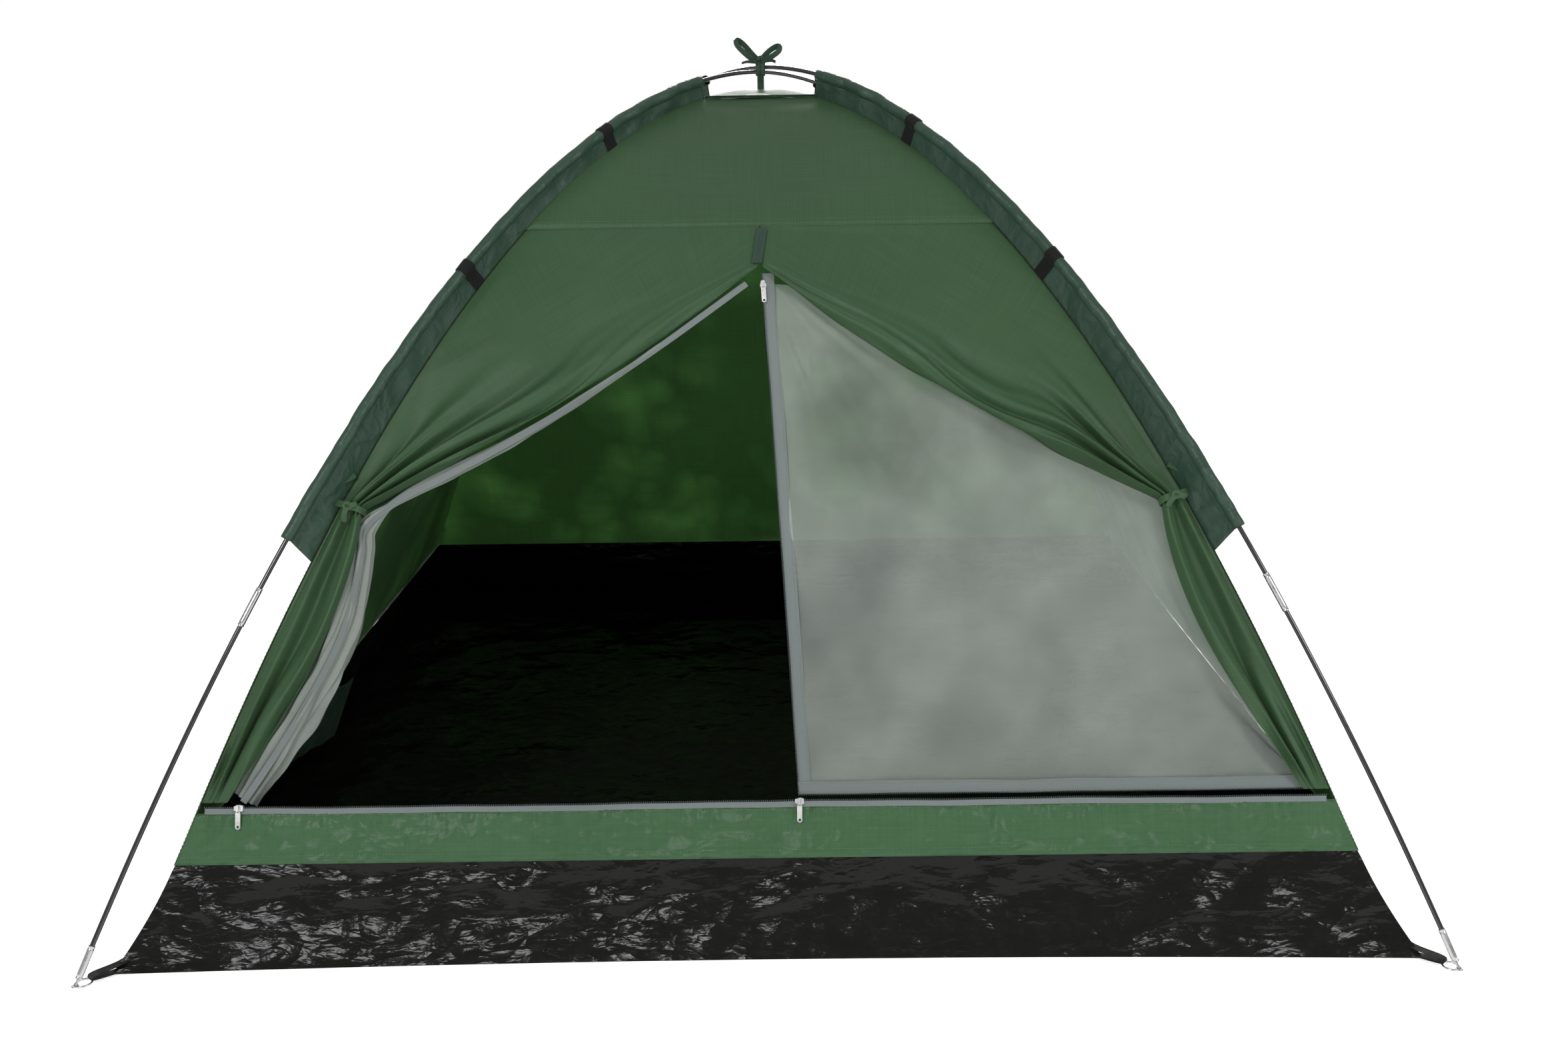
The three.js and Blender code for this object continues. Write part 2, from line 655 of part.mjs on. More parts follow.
// The tape from the peak round the crossing poles, tied on top in a bow.
function crownTie() {
  const clear = 0.8;
  const spread = TAPE_WIDTH / 2 + POLE_RADIUS * ROOT2 + clear;
  const low = POLE_HEIGHT - POLE_LIFT - POLE_RADIUS - clear;
  const high = POLE_HEIGHT + POLE_LIFT + POLE_RADIUS + clear;
  const t = TAPE_THICKNESS;
  const ring = new THREE.Shape();
  ring.moveTo(-spread - t, low - t);
  ring.lineTo(-t, low - t);
  ring.lineTo(-t, CANOPY_HEIGHT + SEAM_GAP);
  ring.lineTo(t, CANOPY_HEIGHT + SEAM_GAP);
  ring.lineTo(t, low - t);
  ring.lineTo(spread + t, low - t);
  ring.lineTo(spread + t, high + t);
  ring.lineTo(-spread - t, high + t);
  ring.closePath();
  const eye = new THREE.Path();
  eye.moveTo(-spread, low);
  eye.lineTo(-spread, high);
  eye.lineTo(spread, high);
  eye.lineTo(spread, low);
  eye.closePath();
  ring.holes.push(eye);
  const band = new THREE.ExtrudeGeometry(ring, { depth: TAPE_WIDTH, bevelEnabled: false });
  band.translate(0, 0, -TAPE_WIDTH / 2);
  band.rotateX(Math.PI / 2);
  band.rotateZ(Math.PI / 2);
  const knot = new THREE.BoxGeometry(KNOT.width, KNOT.depth, KNOT.height);
  const knotY = -spread * 0.5;
  const knotZ = high + t + KNOT.height / 2 - 1;
  knot.translate(0, knotY, knotZ);
  const loop = ({ reach, rise, height }, side) => {
    const length = Math.hypot(reach, rise);
    const outline = new THREE.Shape();
    outline.absellipse(length / 2, 0, length / 2, height / 2, 0, 2 * Math.PI);
    const hole = new THREE.Path();
    hole.absellipse(length / 2, 0, length / 2 - 3 * t, height / 2 - t, 0, 2 * Math.PI);
    outline.holes.push(hole);
    const options = { depth: TAPE_WIDTH * BOW_WIDTH, bevelEnabled: false, curveSegments: 10 };
    const ribbon = new THREE.ExtrudeGeometry(outline, options);
    ribbon.translate(0, 0, (-TAPE_WIDTH * BOW_WIDTH) / 2);
    ribbon.rotateX(Math.PI / 2);
    ribbon.rotateY(-Math.atan2(rise, reach));
    if (side < 0) ribbon.rotateZ(Math.PI);
    ribbon.translate(0, knotY, knotZ);
    return ribbon;
  };
  return joined(band, knot, loop(BOW_RIGHT, 1), loop(BOW_LEFT, -1));
}

// ---------------------------------------------------------------- zip sliders and pulls
// A slider lies in the X-Z plane. turn stands it along its zip: 0 along X, a quarter turn along Z.
// Its bail always arches along Z on the -Y side, where the pull hangs.
function sliderBody(turn) {
  const shape = new THREE.Shape();
  const { length, height, depth } = SLIDER;
  const nose = height * 0.28;
  const shoulder = height / 2 - 1.5;
  shape.moveTo(-length / 2, -nose);
  shape.lineTo(length * 0.1, -height / 2);
  shape.lineTo(length / 2, -shoulder);
  shape.lineTo(length / 2, shoulder);
  shape.lineTo(length * 0.1, height / 2);
  shape.lineTo(-length / 2, nose);
  shape.closePath();
  const body = new THREE.ExtrudeGeometry(shape, { depth, bevelEnabled: false });
  body.rotateX(Math.PI / 2);
  body.rotateY(turn);
  const { span, width, rise, wall } = BAIL;
  const root = 1;
  const arch = new THREE.Shape();
  arch.moveTo(-span / 2 - wall, root);
  arch.lineTo(-span / 2 - wall, -rise - wall);
  arch.lineTo(span / 2 + wall, -rise - wall);
  arch.lineTo(span / 2 + wall, root);
  arch.lineTo(span / 2, root);
  arch.lineTo(span / 2, -rise);
  arch.lineTo(-span / 2, -rise);
  arch.lineTo(-span / 2, root);
  arch.closePath();
  const bail = new THREE.ExtrudeGeometry(arch, { depth: width, bevelEnabled: false });
  bail.translate(0, -depth, -width / 2);
  bail.rotateY(Math.PI / 2);
  return joined(body, bail);
}

// A pull hangs along -Z. Its bar lies on X at 0, inside the bail, and its arms pass the bail's leg.
function pullTab() {
  const { length, width, thickness, hole, bar } = PULL;
  const arm = BAIL.width / 2 + PULL_GAP;
  const clear = Math.hypot(BAIL.span / 2 + BAIL.wall, BAIL.rise / 2 + BAIL.wall) + PULL_GAP;
  const shape = new THREE.Shape();
  shape.moveTo(-arm - bar, bar / 2);
  shape.lineTo(-arm - bar, -clear + bar);
  shape.lineTo(-width / 2, -clear - bar);
  shape.absarc(0, -length + width / 2, width / 2, Math.PI, 2 * Math.PI, false);
  shape.lineTo(width / 2, -clear - bar);
  shape.lineTo(arm + bar, -clear + bar);
  shape.lineTo(arm + bar, bar / 2);
  shape.closePath();
  const slot = new THREE.Path();
  slot.moveTo(-arm, -bar / 2);
  slot.lineTo(arm, -bar / 2);
  slot.lineTo(arm, -clear);
  slot.lineTo(-arm, -clear);
  slot.closePath();
  const round = new THREE.Path();
  round.absarc(0, -length + width / 2, hole, 0, 2 * Math.PI, true);
  shape.holes.push(slot, round);
  const options = { depth: thickness, bevelEnabled: false, curveSegments: 8 };
  const tab = new THREE.ExtrudeGeometry(shape, options);
  tab.translate(0, 0, -thickness / 2);
  tab.rotateX(Math.PI / 2);
  return geometryOf(solidOf(tab));
}

// ---------------------------------------------------------------- assembly
const tent = new THREE.Group();

function addMesh(parent, name, geometry, material) {
  const mesh = new THREE.Mesh(geometry, material);
  mesh.name = name;
  parent.add(mesh);
  return mesh;
}

// One pole with its rods, ferrules, tips, sleeves and feet, turned by a heading about Z.
function addPole(letter, heading, lift, corners) {
  const pole = new THREE.Group();
  pole.rotation.z = heading;
  tent.add(pole);
  const arch = poleArch(lift);
  const joint = (i) => jointAt(arch, i);
  for (let i = 0; i < POLE_SECTIONS; i += 1) {
    const from = joint(i) + (i > 0 ? ROD_GAP / 2 : 0);
    const to = joint(i + 1) - (i < POLE_SECTIONS - 1 ? ROD_GAP / 2 : 0);
    addMesh(pole, `pole_${letter}_rod_${i + 1}`, rod(arch, from, to), fibreglass());
    if (i > 0) addMesh(pole, `pole_${letter}_ferrule_${i}`, ferrule(arch, joint(i)), steel());
  }
  addMesh(pole, `pole_${letter}_tip_1`, tip(arch, joint(0), -1), steel());
  addMesh(pole, `pole_${letter}_tip_2`, tip(arch, joint(POLE_SECTIONS), 1), steel());
  corners.forEach((corner, i) => {
    const end = new THREE.Group();
    end.rotation.z = i === 0 ? Math.PI : 0;
    pole.add(end);
    addMesh(end, `sleeve_${corner}`, sleeve(arch), sleeveCloth());
    addMesh(end, `corner_pin_${corner}`, cornerPin(arch), steel());
    addMesh(end, `corner_strap_${corner}`, cornerStrap(arch), blackWebbing());
  });
}

function addWalls() {
  const top = canopyHeightAt(VENT_HALF);
  const headings = { wall_left: -0.5, wall_right: 0.5, wall_back: 1 };
  for (const [name, turns] of Object.entries(headings)) {
    const wall = addMesh(tent, name, fullPanel(WALL_BOTTOM, top, 10), canopyCloth());
    wall.rotation.z = turns * Math.PI;
  }
  addMesh(tent, 'front_gable', fullPanel(GABLE_SEAM, top, 4), canopyCloth());
  addMesh(tent, 'sill_panel', sillPanel(), sillCloth());
  addMesh(tent, 'door_curtain_left', curtain(-1), canopyCloth());
  addMesh(tent, 'door_curtain_right', curtain(1), canopyCloth());
}

// A slider on the sill zip, with its pull lying on the wall below it.
function addSillSlider(side, x) {
  const lean = Math.atan(-canopySlope(SILL_HEIGHT));
  const place = new THREE.Group();
  place.position.copy(wallPoint(x, SILL_HEIGHT, -SLIDER_GAP));
  place.rotation.x = -lean;
  tent.add(place);
  addSliderTo(place, `sill_${side}`, 0);
}

// The pull's end leans on the wall behind the slider.
function addSliderTo(place, name, turn) {
  addMesh(place, `${name}_slider`, sliderBody(turn), paintedMetal());
  const pull = addMesh(place, `${name}_pull`, pullTab(), paintedMetal());
  const off = SLIDER.depth + BAIL.rise / 2;
  pull.position.y = -off;
  const toWall = (off + SLIDER_GAP - PULL.thickness / 2 - PULL_REST) / PULL.length;
  const toBody = (BAIL.rise / 2 - PULL.thickness / 2 - PULL_GAP) / (SLIDER.length / 2);
  pull.rotation.x = Math.asin(Math.min(toWall, toBody));
}

function addDoorSlider() {
  const run = doorFoot.clone().sub(doorTop).normalize();
  const across = doorCorner.clone().sub(doorTop);
  const inwards = new THREE.Vector3().crossVectors(run, across).normalize();
  if (inwards.y < 0) inwards.negate();
  const sideways = new THREE.Vector3().crossVectors(inwards, run.clone().negate());
  const place = new THREE.Group();
  place.quaternion.setFromRotationMatrix(
    new THREE.Matrix4().makeBasis(sideways, inwards, run.clone().negate()),
  );
  place.position.copy(doorTop)
    .addScaledVector(run, APEX_SLIDER_DROP)
    .addScaledVector(inwards, -(NET_THICKNESS / 2 + SLIDER_GAP));
  tent.add(place);
  addSliderTo(place, 'door', Math.PI / 2);
}

addPole('a', -Math.PI / 4, POLE_LIFT, ['back_left', 'front_right']);
addPole('b', Math.PI / 4, -POLE_LIFT, ['front_left', 'back_right']);
addMesh(tent, 'groundsheet', groundsheet(), floorCloth());
addWalls();
addMesh(tent, 'roof_vent_net', roofVent(), netCloth());
addMesh(tent, 'crown_tie', crownTie(), sleeveCloth());
addMesh(tent, 'net_door', netLeaf(), netCloth());
addMesh(tent, 'net_roll_left', netRoll(), netCloth());
addSillSlider('left', -LEFT_SLIDER_X);
addSillSlider('right', DOOR_SKEW);
addDoorSlider();

export default tent;
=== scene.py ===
import math

import bmesh
import bpy
import numpy as np
from mathutils import Matrix, Vector


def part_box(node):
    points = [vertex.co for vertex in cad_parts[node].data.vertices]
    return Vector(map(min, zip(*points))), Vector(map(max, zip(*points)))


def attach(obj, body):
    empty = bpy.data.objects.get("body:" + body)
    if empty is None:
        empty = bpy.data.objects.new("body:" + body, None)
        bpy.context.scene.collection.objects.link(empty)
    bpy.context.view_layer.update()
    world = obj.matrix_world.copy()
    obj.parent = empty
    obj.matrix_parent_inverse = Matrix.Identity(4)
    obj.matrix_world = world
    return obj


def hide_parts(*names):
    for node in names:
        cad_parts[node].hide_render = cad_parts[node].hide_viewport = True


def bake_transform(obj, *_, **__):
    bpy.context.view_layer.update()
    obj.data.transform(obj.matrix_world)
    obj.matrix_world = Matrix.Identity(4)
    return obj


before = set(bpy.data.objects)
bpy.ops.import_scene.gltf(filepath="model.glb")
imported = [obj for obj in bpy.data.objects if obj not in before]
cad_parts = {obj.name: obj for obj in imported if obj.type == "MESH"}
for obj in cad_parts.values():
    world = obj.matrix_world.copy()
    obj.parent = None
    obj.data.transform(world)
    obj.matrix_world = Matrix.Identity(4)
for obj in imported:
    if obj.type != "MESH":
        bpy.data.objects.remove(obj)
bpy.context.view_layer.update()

bl_info = {
    "name": "Two-pole dome tent",
    "version": (1, 0, 0),
    "blender": (4, 5, 0),
    "location": "3D View > Sidebar > Tent",
    "description": "Builds a two-pole dome tent with a split door, one piece at a time",
    "category": "Add Mesh",
}

ROOT2 = math.sqrt(2)
POLE_SECTIONS = 7
# Each corner: the heading of its pole's end, the pole it belongs to, and that end's number.
CORNERS = {
    "front_right": (-0.25, "a", 2),
    "back_right": (0.25, "b", 2),
    "back_left": (0.75, "a", 1),
    "front_left": (-0.75, "b", 1),
}


# ------------------------------------------------------------------ sizes and colours
def length(name, default, description):
    return bpy.props.FloatProperty(
        name=name, description=description, default=default, unit="LENGTH", precision=4)


def number(name, default, description):
    return bpy.props.FloatProperty(
        name=name, description=description, default=default, precision=3)


def colour(name, default, description):
    return bpy.props.FloatVectorProperty(
        name=name, description=description, default=default, size=3, subtype="COLOR",
        min=0, max=1)


def node_top(node):
    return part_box(node)[1].z


class TentSizes(bpy.types.PropertyGroup):
    """The sizes that the pieces follow, in metres."""

    canopy_half: length("Half width", 0.985, "Half the floor's side, to the corner seam")
    canopy_height: length("Canopy height", 1.325, "Peak of the cloth above the ground")
    canopy_curve: number("Canopy arch", 1.95, "Exponent of the corner seam's arch")
    pole_foot: length("Pole foot", 1.051, "Foot of a pole from the middle, in X and Y")
    pole_height: length("Pole height", 1.362, "Middle of the crossing poles")
    pole_curve: number("Pole arch", 1.9, "Exponent of the pole's arch")
    pole_radius: length("Pole radius", 0.00395, "Radius of a fibreglass rod")
    pole_lift: length("Pole lift", 0.00435, "One pole lies this far above the crossing")
    ferrule_length: length("Ferrule", 0.066, "Length of a metal ferrule")
    foot_clear: length("Foot clearance", 0.042, "From the last rod to the foot, along it")
    sleeve_top: length("Sleeve top", 0.112, "Where a sleeve starts, in X and Y")
    sleeve_end: length("Sleeve end", 0.618, "Height of a sleeve's lower end")
    tunnel: length("Tunnel radius", 0.0102, "Radius of the sleeve round its pole")
    tub_height: length("Tub height", node_top("groundsheet"), "Upstand of the floor cloth")
    edge_pull: length("Edge pull", 0.020, "How far the floor's edges curve in")
    floor_flare: length("Floor flare", 0.026, "How far the floor reaches past the arch")
    hem: length("Hem", 0.006, "How far walls, sill and upstand overlap")
    wall_foot: length("Wall foot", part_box("wall_back")[0].z, "Lower edge of the walls")
    vent_half: length("Vent", 0.105, "Half the side of the net panel at the peak")
    gable_seam: length("Gable seam", 1.085, "Height of the seam across the front")
    apex: length("Door apex", 1.020, "Height of the top of the door")
    tie: length("Tie height", 0.655, "Where the curtains are tied back")
    sill: length("Sill zip", 0.222, "Height of the zip along the foot of the door")
    cloth: length("Cloth", 0.0008, "Thickness of one layer of cloth")
    tape: length("Zip tape", 0.020, "Width of the tape beside a zip")
    tooth_pitch: length("Tooth pitch", 0.0030, "From one zip tooth to the next")
    stitch_pitch: length("Stitch pitch", 0.0065, "From one stitch to the next")


class TentColours(bpy.types.PropertyGroup):
    """The base colours of the finishes."""

    canopy: colour("Canopy", (0.062, 0.126, 0.059), "Coated polyester of the walls")
    sleeve: colour("Sleeves", (0.027, 0.058, 0.038), "Darker polyester of the sleeves")
    sill: colour("Sill", (0.044, 0.112, 0.046), "Lighter polyester of the sill")
    tub: colour("Tub", (0.0062, 0.0062, 0.0055), "Woven polyethylene of the floor")
    net: colour("Net", (0.60, 0.67, 0.60), "Threads of the insect net")
    zip_tape: colour("Zip tape", (0.17, 0.195, 0.19), "Woven tape of the zips")
    tooth: colour("Zip teeth", (0.06, 0.07, 0.075), "Moulded coil of the zips")
    webbing: colour("Webbing", (0.0045, 0.0045, 0.005), "Black straps and bands")
    fibreglass: colour("Fibreglass", (0.014, 0.013, 0.012), "Pole rods")
    steel: colour("Steel", (0.50, 0.50, 0.49), "Ferrules, tips, pins and rings")
    lacquer: colour("Lacquer", (0.72, 0.72, 0.70), "Sliders and pulls")
    thread: colour("Thread", (0.060, 0.026, 0.013), "Rust-brown seam thread")
    pale_thread: colour("Pale thread", (0.10, 0.20, 0.11), "Thread of the sill's gathers")


def sizes():
    return bpy.context.scene.tent_sizes


def colours():
    return bpy.context.scene.tent_colours


# ------------------------------------------------------------------ smooth random shapes
def ripple(u, v, seed, waves, shortest, longest, along=None, spread=math.pi):
    """A sum of sine waves over two coordinates, about -1 to 1. along turns the crests."""
    draw = np.random.default_rng(seed)
    total = np.zeros(np.broadcast(u, v).shape)
    power = 0.0
    for _ in range(waves):
        size = shortest * (longest / shortest) ** draw.random()
        turn = draw.uniform(-spread, spread) if along is None else along + draw.normal() * spread
        phase = draw.uniform(0, 2 * math.pi)
        weight = (size / longest) ** 0.6
        across = -u * math.sin(turn) + v * math.cos(turn)
        total = total + weight * np.sin(2 * math.pi * across / size + phase)
        power += weight ** 2
    return total / math.sqrt(2 * power)


def creases(u, v, seed, waves, shortest, longest, along=None, spread=math.pi, sharp=1.6):
    """Ridges like those of a sheet that was folded and shaken out, about 0 to 1."""
    draw = np.random.default_rng(seed)
    bend_u = ripple(u, v, seed + 101, 5, longest * 0.8, longest * 2.5)
    bend_v = ripple(u, v, seed + 202, 5, longest * 0.8, longest * 2.5)
    total = np.zeros(np.broadcast(u, v).shape)
    power = 0.0
    for _ in range(waves):
        size = shortest * (longest / shortest) ** draw.random()
        turn = draw.uniform(-spread, spread) if along is None else along + draw.normal() * spread
        phase = draw.uniform(0, 2 * math.pi)
        weight = size / longest
        across = (-(u + bend_u * size * 0.35) * math.sin(turn)
                  + (v + bend_v * size * 0.35) * math.cos(turn))
        ridge = 1 - np.abs(np.sin(math.pi * across / size + phase))
        total = total + weight * ridge ** sharp
        power += weight
    return total / power


def smooth(t, low=0.0, high=1.0):
    t = np.clip((np.asarray(t, float) - low) / (high - low), 0, 1)
    return t * t * (3 - 2 * t)


# ------------------------------------------------------------------ the canopy's shape
def canopy_half(z):
    s = sizes()
    return s.canopy_half * np.clip(1 - np.asarray(z, float) / s.canopy_height, 0, 1) ** (
        1 / s.canopy_curve)


def canopy_height_at(half):
    s = sizes()
    return s.canopy_height * (1 - (np.asarray(half, float) / s.canopy_half) ** s.canopy_curve)


def wall_normal(z):
    """Outward normal (y, z) of the wall that faces -Y."""
    s = sizes()
    slope = -canopy_half(z) / (s.canopy_curve * (s.canopy_height - np.asarray(z, float)))
    size = np.sqrt(1 + slope ** 2)
    return -1 / size, -slope / size


def wall_point(x, z, out=0.0):
    """Points of the wall that faces -Y, standing out from it by a distance."""
    x, z, out = np.broadcast_arrays(np.asarray(x, float), np.asarray(z, float),
                                    np.asarray(out, float))
    ny, nz = wall_normal(z)
    return np.stack([x, -canopy_half(z) + out * ny, z + out * nz], -1)


def wall_run(z, samples=400):
    """Distance up the wall from the ground to each height, along the cloth."""
    z = np.asarray(z, float)
    steps = np.linspace(0, sizes().canopy_height * 0.995, samples)
    half = canopy_half(steps)
    run = np.concatenate([[0], np.cumsum(np.hypot(np.diff(steps), np.diff(half)))])
    return np.interp(z, steps, run)


def heights(bottom, top, steps, also=()):
    """Heights evenly spaced along the cloth from bottom to top, with some values kept."""
    fine = np.linspace(bottom, top, 600)
    even = np.interp(np.linspace(0, 1, steps + 1),
                     np.linspace(0, 1, 2), np.array([wall_run(bottom), wall_run(top)]))
    z = np.interp(even, wall_run(fine), fine)
    for value in also:
        z[np.argmin(np.abs(z - value))] = value
    return z


def turned(points, turns):
    """Points turned about Z by a number of half turns."""
    angle = turns * math.pi
    c, s = math.cos(angle), math.sin(angle)
    out = points.copy()
    out[..., 0] = c * points[..., 0] - s * points[..., 1]
    out[..., 1] = s * points[..., 0] + c * points[..., 1]
    return out


# ------------------------------------------------------------------ the poles' shape
class Arch:
    """One end of a pole, as a curve in its own upright plane, from the crossing outwards."""

    def __init__(self, corner):
        s = sizes()
        heading, pole, _ = CORNERS[corner]
        self.angle = heading * math.pi
        lift = s.pole_lift if pole == "a" else -s.pole_lift
        half = s.pole_foot * np.sin(np.linspace(0, math.pi / 2, 1200))
        self.run = half * ROOT2
        self.z = (s.pole_height + lift) * (1 - (half / s.pole_foot) ** s.pole_curve)
        self.along = np.concatenate(
            [[0], np.cumsum(np.hypot(np.diff(self.run), np.diff(self.z)))])
        self.length = self.along[-1]
        self.out = np.array([math.cos(self.angle), math.sin(self.angle), 0.0])
        self.side = np.array([-math.sin(self.angle), math.cos(self.angle), 0.0])

    def at_run(self, run):
        return float(np.interp(run, self.run, self.along))

    def at_height(self, z):
        return float(np.interp(-z, -self.z, self.along))

    def joint(self, i):
        """Distance from the crossing to joint i, counted outwards from the middle rod."""
        rod = 2 * (self.length - sizes().foot_clear) / POLE_SECTIONS
        return rod * (i + 0.5)

    def frame(self, along):
        """Origin, outward axis u and sideways axis v at distances along the pole."""
        along = np.asarray(along, float)
        run = np.interp(along, self.along, self.run)
        z = np.interp(along, self.along, self.z)
        ahead = np.clip(along + 0.004, 0, self.length)
        back = along - 0.004
        run_back = np.where(back < 0, -np.interp(-back, self.along, self.run),
                            np.interp(np.abs(back), self.along, self.run))
        d_run = np.interp(ahead, self.along, self.run) - run_back
        d_z = np.interp(ahead, self.along, self.z) - np.interp(np.abs(back), self.along, self.z)
        size = np.hypot(d_run, d_z)
        d_run, d_z = d_run / size, d_z / size
        origin = run[..., None] * self.out + z[..., None] * np.array([0, 0, 1.0])
        u = -d_z[..., None] * self.out + d_run[..., None] * np.array([0, 0, 1.0])
        v = np.broadcast_to(self.side, u.shape)
        return origin, u, v

    def reach(self, along):
        """Distance from the pole in to the canopy's corner seam, against u."""
        origin, u, _ = self.frame(along)
        low, high = np.zeros(np.shape(along)), np.full(np.shape(along), 0.2)
        for _ in range(30):
            middle = (low + high) / 2
            p = origin - u * middle[..., None]
            half = np.hypot(p[..., 0], p[..., 1]) / ROOT2
            inside = p[..., 2] < canopy_height_at(half)
            high = np.where(inside, middle, high)
            low = np.where(inside, low, middle)
        return low


# ------------------------------------------------------------------ meshes from points
class Cloth:
    """Gathers grids and faces, with their cloth coordinates, into one mesh."""

    def __init__(self):
        self.points, self.faces, self.uvs, self.kinds = [], [], [], []
        self.count = 0

    def add(self, points, faces, uvs=None, kind=0):
        points = np.asarray(points, float).reshape(-1, 3)
        uvs = points[:, [0, 2]] if uvs is None else np.asarray(uvs, float).reshape(-1, 2)
        self.points.append(points)
        self.uvs.append(uvs)
        self.faces.extend([tuple(int(i) + self.count for i in face) for face in faces])
        self.kinds.extend([kind] * len(faces))
        self.count += len(points)
        return self

    def grid(self, points, uvs=None, loop=False, kind=0):
        rows, columns = points.shape[:2]
        index = np.arange(rows * columns).reshape(rows, columns)
        if loop:
            index = np.concatenate([index, index[:, :1]], 1)
        faces = np.stack([index[:-1, :-1], index[:-1, 1:], index[1:, 1:], index[1:, :-1]],
                         -1).reshape(-1, 4)
        return self.add(points, faces.tolist(), uvs, kind)

    def tube(self, path, radius, sides=16, caps=True, kind=0, flat=1.0, up=(0, 0, 1)):
        """A round or flattened tube along a path. radius may change along it."""
        path = np.asarray(path, float)
        u, v = path_axes(path, up)
        radius = np.broadcast_to(np.asarray(radius, float), (len(path),))
        angle = 2 * math.pi * np.arange(sides) / sides
        ring = (np.cos(angle)[None, :, None] * u[:, None, :]
                + flat * np.sin(angle)[None, :, None] * v[:, None, :])
        points = path[:, None, :] + ring * radius[:, None, None]
        run = np.concatenate([[0], np.cumsum(np.linalg.norm(np.diff(path, axis=0), axis=1))])
        uvs = np.stack(np.broadcast_arrays((angle * radius.mean())[None, :], run[:, None]), -1)
        return self.rings(points, uvs, caps, kind)

    def rings(self, points, uvs=None, caps=True, kind=0):
        """Closed rings of points, joined in order, with their ends filled."""
        first = self.count
        rows, sides = points.shape[:2]
        self.grid(points, uvs, loop=True, kind=kind)
        if caps:
            ends = [tuple(range(sides))[::-1],
                    tuple(range((rows - 1) * sides, rows * sides))]
            for end in ends:
                self.faces.append(tuple(i + first for i in end))
                self.kinds.append(kind)
        return self

    def band(self, centre, across, up, width, thickness, kind=0, closed=False):
        """A flat strap along a path, with a rectangular section of rounded corners."""
        half_w, half_t = width / 2, thickness / 2
        bevel = thickness * 0.35
        outline = np.array([
            (-half_w + bevel, -half_t), (half_w - bevel, -half_t), (half_w, -half_t + bevel),
            (half_w, half_t - bevel), (half_w - bevel, half_t), (-half_w + bevel, half_t),
            (-half_w, half_t - bevel), (-half_w, -half_t + bevel)])
        points = (centre[:, None, :] + outline[None, :, 0, None] * across[:, None, :]
                  + outline[None, :, 1, None] * up[:, None, :])
        run = np.concatenate(
            [[0], np.cumsum(np.linalg.norm(np.diff(centre, axis=0), axis=1))])
        uvs = np.stack(np.broadcast_arrays(outline[None, :, 0], run[:, None]), -1)
        if closed:
            points = np.concatenate([points, points[:1]], 0)
            uvs = np.concatenate([uvs, uvs[:1]], 0)
        return self.rings(points, uvs, caps=not closed, kind=kind)

    def piece(self, name, materials, merge=0.0, wall=0.0, outwards=None, crisp=40.0,
              subdivide=0):
        """The finished object. outwards is the point that its faces should look away from."""
        points = np.concatenate(self.points)
        uvs = np.concatenate(self.uvs)
        mesh = bpy.data.meshes.new(name)
        mesh.from_pydata(points.tolist(), [], self.faces)
        for material in materials if isinstance(materials, (list, tuple)) else [materials]:
            mesh.materials.append(material)
        mesh.polygons.foreach_set("material_index", self.kinds)
        layer = mesh.uv_layers.new(name="cloth")
        loops = np.empty(len(mesh.loops), int)
        mesh.loops.foreach_get("vertex_index", loops)
        layer.data.foreach_set("uv", uvs[loops].ravel())
        turn_faces(mesh, merge, outwards)
        mesh.shade_smooth()
        mesh.set_sharp_from_angle(angle=math.radians(crisp))
        piece = bpy.data.objects.new(name, mesh)
        bpy.context.scene.collection.objects.link(piece)
        if wall:
            thick = piece.modifiers.new("cloth thickness", "SOLIDIFY")
            thick.thickness = wall
            thick.offset = -1
            thick.use_even_offset = False
        if subdivide:
            finer = piece.modifiers.new("finer", "SUBSURF")
            finer.levels = finer.render_levels = subdivide
        return piece


def turn_faces(mesh, merge, outwards):
    """Joins what touches, then makes the faces look outwards."""
    work = bmesh.new()
    work.from_mesh(mesh)
    if merge:
        bmesh.ops.remove_doubles(work, verts=work.verts, dist=merge)
    if outwards is None:
        bmesh.ops.recalc_face_normals(work, faces=work.faces)
    else:
        away = Vector(outwards)
        work.normal_update()
        facing = sum(f.normal.dot(f.calc_center_median() - away) * f.calc_area()
                     for f in work.faces)
        if facing < 0:
            bmesh.ops.reverse_faces(work, faces=work.faces)
    work.to_mesh(mesh)
    work.free()


def unit(vectors):
    """The same directions, one long."""
    return vectors / np.linalg.norm(vectors, axis=-1, keepdims=True)


def headings(path):
    """The direction of a path at each of its points."""
    return unit(np.gradient(path, axis=0))


def path_axes(path, up=(0, 0, 1)):
    """Two axes across a path at each of its points, turning as little as possible."""
    tangent = headings(path)
    guide = np.asarray(up, float)
    if abs(tangent[0] @ guide) > 0.95:
        guide = np.array([1.0, 0.0, 0.0])
    u = unit(np.cross(tangent[0], guide))
    us = []
    for t in tangent:
        u = unit(u - t * (u @ t))
        us.append(u)
    us = np.array(us)
    return us, np.cross(tangent, us)


